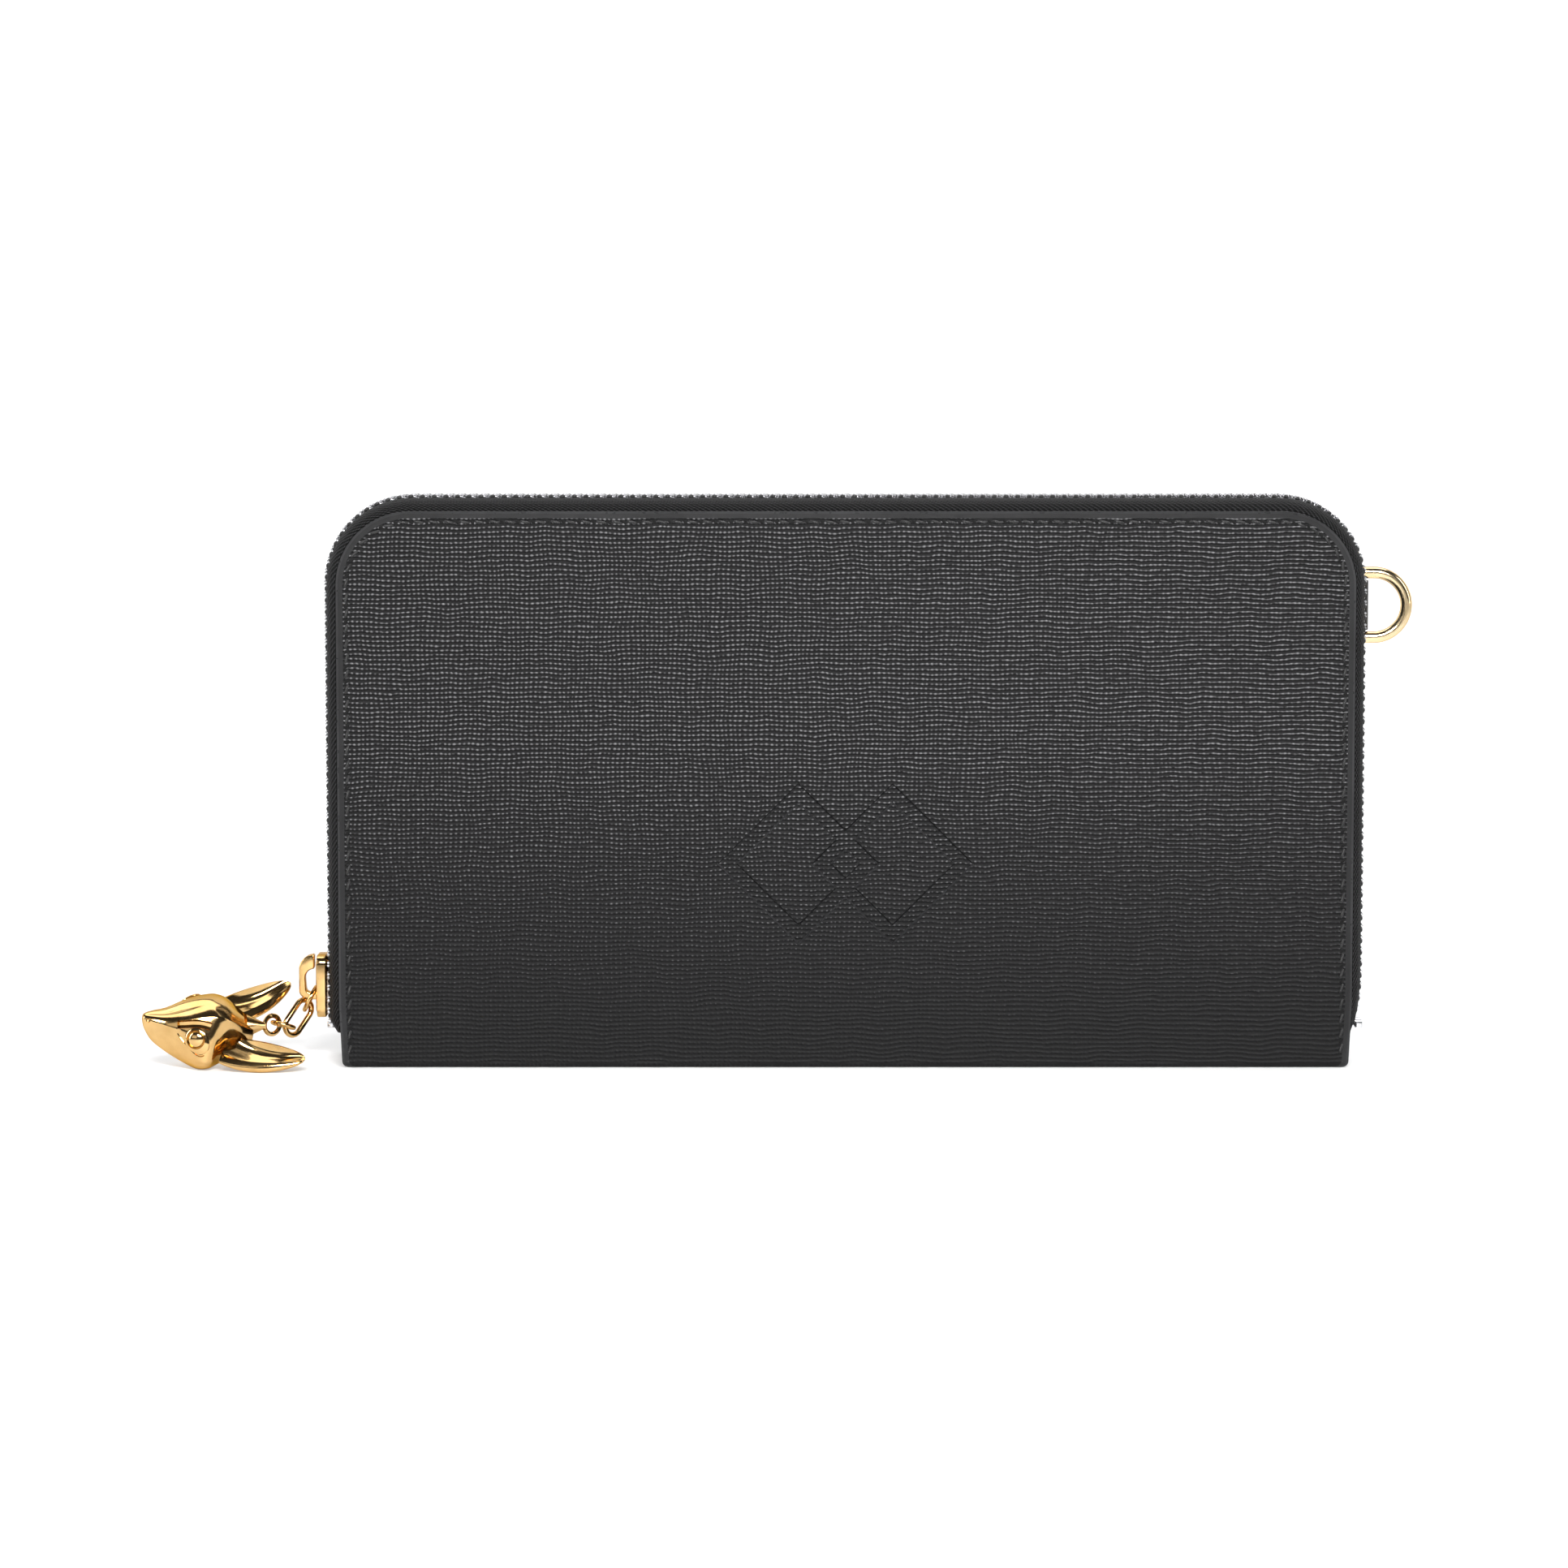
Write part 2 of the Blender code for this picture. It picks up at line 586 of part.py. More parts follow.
def ear(name, side, to_world):
    """A leaf-shaped ear from the back of the head, as a flattened cone."""
    root, tip = (Vector((along, side * out, up)) for along, out, up in (EAR_ROOT, EAR_TIP))
    bm = bmesh.new()
    bmesh.ops.create_cone(
        bm, cap_ends=True, segments=EAR_SEGMENTS, radius1=EAR_ROOT_RADIUS, radius2=EAR_TIP_RADIUS,
        depth=(tip - root).length,
    )
    bmesh.ops.scale(bm, vec=(EAR_FLATNESS, 1, 1), verts=bm.verts)
    stand = (tip - root).to_track_quat("Z", "Y").to_matrix().to_4x4()
    spin = Matrix.Rotation(side * EAR_SPIN, 4, "Z")
    bm.transform(to_world @ Matrix.Translation((root + tip) / 2) @ stand @ spin)
    return add(name, mesh_of(name, bm))


def d_ring():
    """The D-ring for a wrist strap."""
    x, y, z = RING_PIVOT
    high = RING_HEIGHT / 2
    middle = x + RING_CORNER
    outline = [
        *arc((middle, z - high + RING_CORNER), RING_CORNER, 180, 270, RING_CORNER_STEPS),
        *arc((x + RING_RUN, z), high, -90, 90, RING_STEPS),
        *arc((middle, z + high - RING_CORNER), RING_CORNER, 90, 180, RING_CORNER_STEPS),
    ]
    return wire("d_ring", [(px, y, pz) for px, pz in outline], RING_WIRE, "gold_metal")


def d_ring_tab():
    """The leather tab folded round the D-ring's bar."""
    x, y, z = RING_PIVOT
    section = [(TAB_START, y - TAB_SHIFT), (PANEL_HALF - GAP, y - TAB_SHIFT)]
    section += arc((x, y), TAB_BEND, *TAB_WRAP, TAB_STEPS)
    rows = [[Vector((px, py, pz)) for px, py in section] for pz in (z - TAB_HALF, z + TAB_HALF)]
    sheet("d_ring_tab", rows, TAB_LEATHER, "grained_leather")


def coin_pocket():
    """The zipped pouch between the halves."""
    fold = arc((0, COIN_BOTTOM + COIN_WALL_LAYER), COIN_WALL_LAYER, 180, 360, COIN_FOLD_STEPS)
    section = [(-COIN_WALL_LAYER, COIN_TOP), *fold, (COIN_WALL_LAYER, COIN_TOP)]
    rows = [[Vector((x, y, z)) for y, z in section] for x in (-COIN_HALF, COIN_HALF)]
    pieces = [sheet("coin_pouch", rows, COIN_WALL, "lining_cloth")]
    inner, outer, low, high = COIN_TAPE
    near, far, foot, top = COIN_TEETH
    for word, side in (("front", -1), ("back", 1)):
        ys, teeth_ys = sorted((side * inner, side * outer)), sorted((side * near, side * far))
        pieces.append(
            box(
                f"coin_{word}_tape", (-COIN_TAPE_HALF, ys[0], low),
                (COIN_TAPE_HALF, ys[1], high), "zip_tape",
            )
        )
        pieces.append(
            box(
                f"coin_{word}_teeth", (-COIN_ROW_HALF, teeth_ys[0], foot),
                (COIN_ROW_HALF, teeth_ys[1], top), "zip_metal",
            )
        )
    for end, side in (("left", -1), ("right", 1)):
        xs = sorted((side * (COIN_ROW_HALF + GAP), side * COIN_STOP_END))
        low_corner, high_corner = (xs[0], -far, foot), (xs[1], far, top)
        pieces.append(
            box(f"coin_{end}_stop", low_corner, high_corner, "zip_metal", bevel=COIN_STOP_ROUNDING)
        )
        seam = sorted((side * (COIN_HALF - COIN_SEAM_WIDTH), side * COIN_HALF))
        pieces.append(
            box(
                f"coin_{end}_seam", (seam[0], -COIN_SEAM_HALF, COIN_SEAM_BOTTOM),
                (seam[1], COIN_SEAM_HALF, low - GAP), "lining_cloth",
            )
        )
    return pieces


def coin_slider():
    """The coin pocket's slider: a channel over the teeth with a lug on its roof."""
    flange_in, flange_out = COIN_CHANNEL
    foot, under, roof = COIN_CHANNEL_LEVELS
    low_x, high_x = COIN_SLIDER_X - COIN_SLIDER_HALF, COIN_SLIDER_X + COIN_SLIDER_HALF
    body = box(
        "coin_slider_body", (low_x, -flange_out, foot), (high_x, flange_out, roof), "gold_metal"
    )
    channel = box(
        "coin_channel",
        (low_x - CUT_PAST, -flange_in, foot - CUT_PAST),
        (high_x + CUT_PAST, flange_in, under),
    )
    combine(body, channel, "DIFFERENCE")
    lug_length, lug_width = LUG_HALF
    lug = box(
        "coin_lug",
        (COIN_SLIDER_X - lug_length, -lug_width, roof - LUG_ROOT),
        (COIN_SLIDER_X + lug_length, lug_width, COIN_PIVOT_UP + LUG_RISE),
    )
    eye_length, eye_height = LUG_EYE_HALF
    eye = box(
        "coin_lug_eye",
        (COIN_SLIDER_X - eye_length, -CUT_PAST, COIN_PIVOT_UP - eye_height),
        (COIN_SLIDER_X + eye_length, CUT_PAST, COIN_PIVOT_UP + eye_height),
    )
    combine(body, lug, "UNION")
    combine(body, eye, "DIFFERENCE")
    return body


def coin_puller():
    """The flat puller, whose cross bar turns in the slider's lug."""
    half, thick = PULLER_HALF, PULLER_THICKNESS / 2
    x, z = COIN_SLIDER_X, COIN_PIVOT_UP
    body = box(
        "coin_puller_tab", (x - PULLER_LENGTH, -half, z - thick), (x + thick, half, z + thick), "gold_metal"
    )
    length, width = PULLER_WINDOW
    window = box(
        "coin_puller_window", (x - length, -width, z - CUT_PAST), (x - thick, width, z + CUT_PAST)
    )
    combine(body, window, "DIFFERENCE")
    return body


def build():
    """Builds every piece and hangs the moving ones on the empties of their joints."""
    half_pieces("back", 1, BACK_BOTTOM)
    back_zip = zip_pieces("back", 1)
    notch_for_tab(back_zip[0])
    spine_pieces()
    gussets()
    d_ring_tab()

    cover_axis = pivot("cover_axis", COVER_AXIS)
    carry(half_pieces("front", -1, FRONT_BOTTOM) + zip_pieces("front", -1), cover_axis)

    coin_axis = pivot("coin_pocket_axis", COVER_AXIS)
    carry(coin_pocket(), coin_axis)
    coin_slider_axis = pivot("coin_slider_axis", Vector((COIN_SLIDER_X, 0, COIN_PIVOT_UP)), coin_axis)
    carry([coin_slider()], coin_slider_axis)
    carry([coin_puller()], pivot("coin_puller_axis", coin_slider_axis.location, coin_slider_axis))

    at = chain_frame()
    slider_axis = pivot("slider_axis", Vector((HOOK_X, 0, SLIDER_BOTTOM)))
    carry(slider(), slider_axis)
    ring_1, link_2, ring_3 = chain(at)
    ring_1_axis = pivot("ring_1_axis", at["foot"], slider_axis)
    carry([ring_1], ring_1_axis)
    link_axis = pivot("link_2_axis", at["apex"], ring_1_axis)
    carry([link_2], link_axis)
    ring_3_axis = pivot("ring_3_axis", at["link_end"], link_axis)
    carry([ring_3], ring_3_axis)
    carry([charm(at)], pivot("charm_axis", at["loop"], ring_3_axis))

    carry([d_ring()], pivot("d_ring_axis", RING_PIVOT))


build()
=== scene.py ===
"""Looks of a zip around wallet: leather, stitching, zip, chain, charm, D-ring, inside and studio."""

import sys

import json
import logging
import math
from contextlib import contextmanager
from dataclasses import dataclass, field
from enum import Enum
from functools import cache
from typing import Callable, Iterable, Iterator, Protocol, Sequence

import bmesh
import bpy
from mathutils import Matrix, Vector


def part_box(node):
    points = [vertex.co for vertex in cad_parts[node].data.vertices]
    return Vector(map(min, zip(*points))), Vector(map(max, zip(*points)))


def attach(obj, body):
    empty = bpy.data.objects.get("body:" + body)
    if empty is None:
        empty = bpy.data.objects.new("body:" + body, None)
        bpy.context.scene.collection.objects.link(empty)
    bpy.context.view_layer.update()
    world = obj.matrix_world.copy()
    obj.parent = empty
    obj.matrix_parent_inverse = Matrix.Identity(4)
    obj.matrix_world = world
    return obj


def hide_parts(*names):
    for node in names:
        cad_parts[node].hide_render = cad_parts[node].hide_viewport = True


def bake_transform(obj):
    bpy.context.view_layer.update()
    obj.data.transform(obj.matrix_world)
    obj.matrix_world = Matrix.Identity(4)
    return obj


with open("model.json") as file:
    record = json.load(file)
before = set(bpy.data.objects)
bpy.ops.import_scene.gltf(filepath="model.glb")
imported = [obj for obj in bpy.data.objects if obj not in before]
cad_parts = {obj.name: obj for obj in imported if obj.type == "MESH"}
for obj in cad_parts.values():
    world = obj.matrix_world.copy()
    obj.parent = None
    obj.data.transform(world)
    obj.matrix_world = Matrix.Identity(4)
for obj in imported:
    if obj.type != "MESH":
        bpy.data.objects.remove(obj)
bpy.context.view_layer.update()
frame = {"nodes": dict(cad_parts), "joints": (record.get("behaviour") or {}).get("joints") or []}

LOG = logging.getLogger("wallet")
MM = 0.001
TINY = 1e-6
X_WAY, Y_WAY, Z_WAY = Vector((1, 0, 0)), Vector((0, 1, 0)), Vector((0, 0, 1))
Section = Sequence[tuple[float, float]]
Colour = tuple[float, float, float]


class Named(Enum):
    """A choice whose name is part of its nodes' names."""

    @property
    def word(self) -> str:
        """The name as its nodes have it."""
        return self.name.lower()


class Side(Named):
    """The two halves of the wallet, each with its sign along Y."""

    FRONT = -1
    BACK = 1

    @property
    def body(self) -> str:
        """The CAD body that the half's pieces ride on."""
        return f"{self.word}_half"


class End(Named):
    """The two ends of the wallet, each with its sign along X."""

    LEFT = -1
    RIGHT = 1


# ---------------------------------------------------------------- modelling by hand


def deselect() -> None:
    """Leaves object mode with nothing selected."""
    if bpy.context.object and bpy.context.object.mode != "OBJECT":
        bpy.ops.object.mode_set(mode="OBJECT")
    bpy.ops.object.select_all(action="DESELECT")


def take(obj: bpy.types.Object) -> bpy.types.Object:
    """Makes obj the only selected object and the active one."""
    deselect()
    obj.select_set(True)
    bpy.context.view_layer.objects.active = obj
    return obj


@contextmanager
def editing(obj: bpy.types.Object, mode: str = "FACE") -> Iterator[bmesh.types.BMesh]:
    """Edit mode on obj with nothing selected.

    Args:
        obj: The piece to edit.
        mode: The select mode, VERT, EDGE or FACE.
    """
    take(obj)
    bpy.ops.object.mode_set(mode="EDIT")
    bpy.ops.mesh.select_mode(type=mode)
    bpy.ops.mesh.select_all(action="DESELECT")
    yield bmesh.from_edit_mesh(obj.data)
    bpy.ops.object.mode_set(mode="OBJECT")


def pick(obj: bpy.types.Object, test: Callable, kind: str = "faces") -> int:
    """Selects what passes a test, in edit mode, and nothing else.

    Args:
        obj: The piece in edit mode.
        test: Takes a face or edge and says whether it's wanted.
        kind: faces or edges.

    Returns:
        How many were selected.
    """
    bpy.ops.mesh.select_all(action="DESELECT")
    bm = bmesh.from_edit_mesh(obj.data)
    bm.normal_update()
    found = [part for part in getattr(bm, kind) if test(part)]
    for part in found:
        part.select_set(True)
    bmesh.update_edit_mesh(obj.data)
    return len(found)


def paint(obj: bpy.types.Object, test: Callable, index: int) -> None:
    """Gives each face that passes a test one of the piece's materials, in edit mode."""
    bm = bmesh.from_edit_mesh(obj.data)
    bm.normal_update()
    for face in filter(test, bm.faces):
        face.material_index = index
    bmesh.update_edit_mesh(obj.data)


def face_outward(obj: bpy.types.Object) -> None:
    """Turns every face of a closed piece outwards."""
    with editing(obj):
        bpy.ops.mesh.select_all(action="SELECT")
        bpy.ops.mesh.normals_make_consistent(inside=False)


def slice_at(place: Vector, normal: Vector) -> None:
    """Cuts an edge loop where a plane crosses the whole piece, in edit mode."""
    bpy.ops.mesh.select_all(action="SELECT")
    bpy.ops.mesh.bisect(plane_co=place, plane_no=normal)


def middle(edge: bmesh.types.BMEdge) -> Vector:
    """The point halfway along an edge."""
    return (edge.verts[0].co + edge.verts[1].co) / 2


def modify(obj: bpy.types.Object, kind: str, **settings: object) -> None:
    """Adds a modifier with those settings and applies it."""
    take(obj)
    modifier = obj.modifiers.new(kind.title(), kind)
    for key, value in settings.items():
        setattr(modifier, key, value)
    bpy.ops.object.modifier_apply(modifier=modifier.name)


def freeze(obj: bpy.types.Object) -> None:
    """Puts the object's place, turn and scale into its mesh."""
    take(obj)
    bpy.ops.object.transform_apply(location=True, rotation=True, scale=True)


def smooth(obj: bpy.types.Object, degrees: float = 35.0, flat_faces: bool = False) -> None:
    """Shades obj smooth.

    Args:
        obj: The piece.
        degrees: Edges over this angle stay sharp.
        flat_faces: Whether its large faces keep their own normals between rounded edges.
    """
    take(obj)
    bpy.ops.object.shade_smooth_by_angle(angle=math.radians(degrees))
    if flat_faces:
        modify(obj, "WEIGHTED_NORMAL", keep_sharp=True, weight=90)


def block(name: str, low: Sequence[float], high: Sequence[float]) -> bpy.types.Object:
    """A cube primitive between two corners, as the start of a piece."""
    deselect()
    low_corner, high_corner = Vector(low), Vector(high)
    bpy.ops.mesh.primitive_cube_add(
        size=1, location=(low_corner + high_corner) / 2, scale=high_corner - low_corner
    )
    obj = bpy.context.active_object
    obj.name = name
    freeze(obj)
    return obj


def round_edges(obj: bpy.types.Object, width: float, segments: int = 2, degrees: float = 30.0) -> None:
    """Rounds every edge sharper than an angle."""
    modify(
        obj, "BEVEL", width=width, segments=segments, limit_method="ANGLE",
        angle_limit=math.radians(degrees), harden_normals=False,
    )


def cut(obj: bpy.types.Object, tool: bpy.types.Object, operation: str = "DIFFERENCE") -> None:
    """Cuts or joins obj with a tool, which is used up."""
    modify(obj, "BOOLEAN", operation=operation, object=tool, solver="EXACT")
    bpy.data.objects.remove(tool, do_unlink=True)


def weld(obj: bpy.types.Object, reach: float = 0.004 * MM) -> None:
    """Joins points that lie closer than reach, and drops faces that have no area."""
    with editing(obj, "VERT"):
        bpy.ops.mesh.select_all(action="SELECT")
        bpy.ops.mesh.remove_doubles(threshold=reach)
        bpy.ops.mesh.dissolve_degenerate(threshold=reach)


def join(name: str, pieces: Sequence[bpy.types.Object]) -> bpy.types.Object:
    """Makes one object of several."""
    deselect()
    for piece in pieces:
        piece.select_set(True)
    bpy.context.view_layer.objects.active = pieces[0]
    bpy.ops.object.join()
    pieces[0].name = name
    return pieces[0]


def repeat(name: str, first: bpy.types.Object, places: Iterable[Matrix]) -> bpy.types.Object:
    """Copies a piece to several places, each copy with its own mesh, and makes one object of them.

    Args:
        name: The row's name.
        first: The piece at the origin; it's used up.
        places: Where each copy goes.

    Returns:
        The row.
    """
    pieces = []
    for place in places:
        piece = first.copy()
        piece.data = first.data.copy()
        bpy.context.scene.collection.objects.link(piece)
        piece.matrix_world = place
        pieces.append(piece)
    bpy.data.objects.remove(first, do_unlink=True)
    obj = join(name, pieces)
    freeze(obj)
    return obj


def grid_sheet(name: str, rows: Sequence[Sequence[Vector]], thickness: float) -> bpy.types.Object:
    """A sheet from a grid primitive laid over rows of points, then given its thickness.

    Args:
        name: The piece's name.
        rows: Rows of points, all as long.
        thickness: The sheet's thickness, half of it on each side; 0 leaves it open.

    Returns:
        The sheet, with a UV map that runs from 0 to 1 both ways.
    """
    deselect()
    across, along = len(rows) - 1, len(rows[0]) - 1
    bpy.ops.mesh.primitive_grid_add(x_subdivisions=across, y_subdivisions=along, size=2)
    obj = bpy.context.active_object
    obj.name = name
    for v in obj.data.vertices:
        i, j = round((v.co.x + 1) / 2 * across), round((v.co.y + 1) / 2 * along)
        v.co = rows[i][j]
    if thickness:
        modify(obj, "SOLIDIFY", thickness=thickness, offset=0, use_even_offset=True)
    return obj


def prism(name: str, outline: Section, low_y: float, high_y: float) -> bpy.types.Object:
    """A flat piece cut to an outline in X and Z and extruded along Y.

    Args:
        name: The piece's name.
        outline: The outline's points, anticlockwise as seen from the front.
        low_y: Where its front face lies.
        high_y: Where its back face lies.

    Returns:
        The closed piece.
    """
    deselect()
    bpy.ops.mesh.primitive_circle_add(vertices=len(outline), radius=1, fill_type="NGON")
    obj = bpy.context.active_object
    obj.name = name
    for v, (x, z) in zip(obj.data.vertices, outline):
        v.co = (x, low_y, z)
    with editing(obj):
        bpy.ops.mesh.select_all(action="SELECT")
        bpy.ops.mesh.extrude_region_move(TRANSFORM_OT_translate={"value": (0, high_y - low_y, 0)})
    face_outward(obj)
    return obj


def tube(
    name: str, points: Sequence[Vector], radius: float, closed: bool = False, sides: int = 4
) -> bpy.types.Object:
    """Round wire along points, as a mesh.

    Args:
        name: The piece's name.
        points: Points along the wire's middle.
        radius: The wire's radius.
        closed: Whether its ends meet.
        sides: The bevel resolution; the wire has twice that and four more sides.

    Returns:
        The wire.
    """
    deselect()
    curve = bpy.data.curves.new(name, "CURVE")
    curve.dimensions = "3D"
    curve.bevel_depth = radius
    curve.bevel_resolution = sides
    curve.use_fill_caps = True
    spline = curve.splines.new("POLY")
    spline.points.add(len(points) - 1)
    for spot, place in zip(spline.points, points):
        spot.co = (*place, 1)
    spline.use_cyclic_u = closed
    obj = bpy.data.objects.new(name, curve)
    bpy.context.scene.collection.objects.link(obj)
    take(obj)
    bpy.ops.object.convert(target="MESH")
    obj = bpy.context.active_object
    with editing(obj, "VERT"):
        bpy.ops.mesh.select_all(action="SELECT")
        bpy.ops.mesh.remove_doubles(threshold=TINY)
    face_outward(obj)
    return obj


def shaped_sphere(
    name: str, around: int, along: int, place: Callable[[float, float], Vector]
) -> bpy.types.Object:
    """A sphere primitive whose points are laid by a rule.

    Args:
        name: The piece's name.
        around: Segments round the poles' axis.
        along: Rings from pole to pole.
        place: Takes the share from pole to pole and the angle round their axis, and gives the point.

    Returns:
        The closed piece.
    """
    deselect()
    bpy.ops.mesh.primitive_uv_sphere_add(segments=around, ring_count=along, radius=1)
    obj = bpy.context.active_object
    obj.name = name
    for v in obj.data.vertices:
        share = math.acos(max(-1.0, min(1.0, v.co.z))) / math.pi
        v.co = place(share, math.atan2(v.co.y, v.co.x))
    face_outward(obj)
    return obj


def ball_point(share: float, turn: float, along: float, across: float, up: float) -> Vector:
    """A point of an egg about the origin, its pole along X and its sizes half its lengths."""
    ring = math.sin(math.pi * share)
    level = math.cos(math.pi * share)
    return Vector((along * level, across * ring * math.cos(turn), up * ring * math.sin(turn)))


def arc(
    centre: Sequence[float], radius: float, start: float, end: float, steps: int
) -> list[tuple[float, float]]:
    """Points of an arc in a plane, between two angles in degrees."""
    turns = (math.radians(start + (end - start) * k / steps) for k in range(steps + 1))
    return [(centre[0] + radius * math.cos(t), centre[1] + radius * math.sin(t)) for t in turns]


def mix(a: float, b: float, share: float) -> float:
    """A number between a and b."""
    return a + (b - a) * share


def curve_through(values: Sequence[float], share: float) -> float:
    """A smooth curve's height at a share of the way through evenly spaced values."""
    spot = share * (len(values) - 1)
    k = min(int(spot), len(values) - 2)
    t = spot - k
    before, here = values[max(k - 1, 0)], values[k]
    there, after = values[k + 1], values[min(k + 2, len(values) - 1)]
    pull_here, pull_there = (there - before) / 2, (after - here) / 2
    return (
        (2 * t**3 - 3 * t**2 + 1) * here
        + (t**3 - 2 * t**2 + t) * pull_here
        + (3 * t**2 - 2 * t**3) * there
        + (t**3 - t**2) * pull_there
    )


class Recipe(Protocol):
    """A finish that can be made into a material."""

    def material(self) -> bpy.types.Material:
        """Builds the finish."""


@cache
def made(recipe: Recipe) -> bpy.types.Material:
    """The material of a finish, made when it's first used."""
    return recipe.material()


def hand_over(
    obj: bpy.types.Object, body: str | None, finish: Recipe | None, nodes: Iterable[str] = ()
) -> bpy.types.Object:
    """Dresses a finished piece and gives it to its body.

    Args:
        obj: The finished piece, in place.
        body: The body that it rides on, or None for a piece that spans two bodies, which stays unparented.
        finish: Its finish, or None if it has its materials already.
        nodes: The CAD nodes that it stands for.

    Returns:
        The piece.
    """
    if finish is not None:
        obj.data.materials.clear()
        obj.data.materials.append(made(finish))
    if nodes:
        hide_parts(*nodes)
    if body:
        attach(obj, body)
    LOG.info("%s: %d faces, on %s", obj.name, len(obj.data.polygons), body or "two bodies")
    return obj


# ---------------------------------------------------------------- finishes


class Graph:
    """A material's nodes, built one call at a time."""

    def __init__(self, name: str) -> None:
        """Starts a material with that name."""
        self.material = bpy.data.materials.new(name)
        self.material.use_nodes = True
        self.tree = self.material.node_tree
        self.shader = self.tree.nodes["Principled BSDF"]
        self.place = self.node("ShaderNodeTexCoord").outputs["Object"]
        self.uv = self.place.node.outputs["UV"]

    def node(self, kind: str, inputs: dict | None = None, **settings: object) -> bpy.types.Node:
        """Adds a node.

        Args:
            kind: The node's type.
            inputs: Values or sockets for its inputs, by name or number.
            settings: The node's own properties.

        Returns:
            The node.
        """
        made = self.tree.nodes.new(kind)
        for key, value in settings.items():
            setattr(made, key, value)
        for key, value in (inputs or {}).items():
            self.feed(made.inputs[key], value)
        return made

    def feed(self, socket: bpy.types.NodeSocket, value: object) -> None:
        """Links a socket to an input, or sets the input's value."""
        if isinstance(value, bpy.types.NodeSocket):
            self.tree.links.new(value, socket)
        else:
            socket.default_value = value

    def math(self, operation: str, *values: object) -> bpy.types.NodeSocket:
        """A Math node's result."""
        made = self.node("ShaderNodeMath", operation=operation)
        for k, value in enumerate(values):
            self.feed(made.inputs[k], value)
        return made.outputs[0]

    def split(self, place: object) -> Sequence[bpy.types.NodeSocket]:
        """A vector's three parts."""
        return self.node("ShaderNodeSeparateXYZ", {0: place}).outputs

    def stretched(self, scale: Sequence[float]) -> bpy.types.NodeSocket:
        """The place on the piece, scaled along each axis."""
        return self.node("ShaderNodeMapping", {"Vector": self.place, "Scale": scale}).outputs[0]

    def wave(self, along: object, pitch: float) -> bpy.types.NodeSocket:
        """A sine from -1 to 1, once each pitch along a coordinate."""
        return self.math("SINE", self.math("MULTIPLY", along, 2 * math.pi / pitch))

    def noise(
        self, scale: float, detail: float = 2.0, place: object = None, roughness: float = 0.5
    ) -> bpy.types.NodeSocket:
        """A noise texture's value, with its features about 1/scale metres wide."""
        inputs = {"Vector": place or self.place, "Scale": scale, "Detail": detail, "Roughness": roughness}
        return self.node("ShaderNodeTexNoise", inputs).outputs["Fac"]

    def ramp(
        self, value: object, low: float, high: float, out_low: float = 0.0, out_high: float = 1.0
    ) -> bpy.types.NodeSocket:
        """A value's span from low to high, laid over out_low to out_high and clamped."""
        inputs = {0: value, 1: low, 2: high, 3: out_low, 4: out_high}
        return self.node("ShaderNodeMapRange", inputs, clamp=True).outputs[0]

    def blend(self, share: object, a: Sequence[float], b: Sequence[float]) -> bpy.types.NodeSocket:
        """A colour between a and b."""
        made = self.node("ShaderNodeMix", data_type="RGBA")
        self.feed(made.inputs[0], share)
        made.inputs[6].default_value = (*a, 1)
        made.inputs[7].default_value = (*b, 1)
        return made.outputs[2]

    def bump(
        self, height: object, distance: float, strength: float = 1.0, under: object = None
    ) -> bpy.types.NodeSocket:
        """A normal from a height of 0 to 1, which stands for that distance in metres."""
        made = self.node("ShaderNodeBump", {"Height": height, "Distance": distance, "Strength": strength})
        if under is not None:
            self.feed(made.inputs["Normal"], under)
        return made.outputs[0]

    def set(self, **inputs: object) -> bpy.types.Material:
        """Sets the shader's inputs, with _ for a space, and returns the material."""
        for key, value in inputs.items():
            self.feed(self.shader.inputs[key.replace("_", " ")], value)
        return self.material


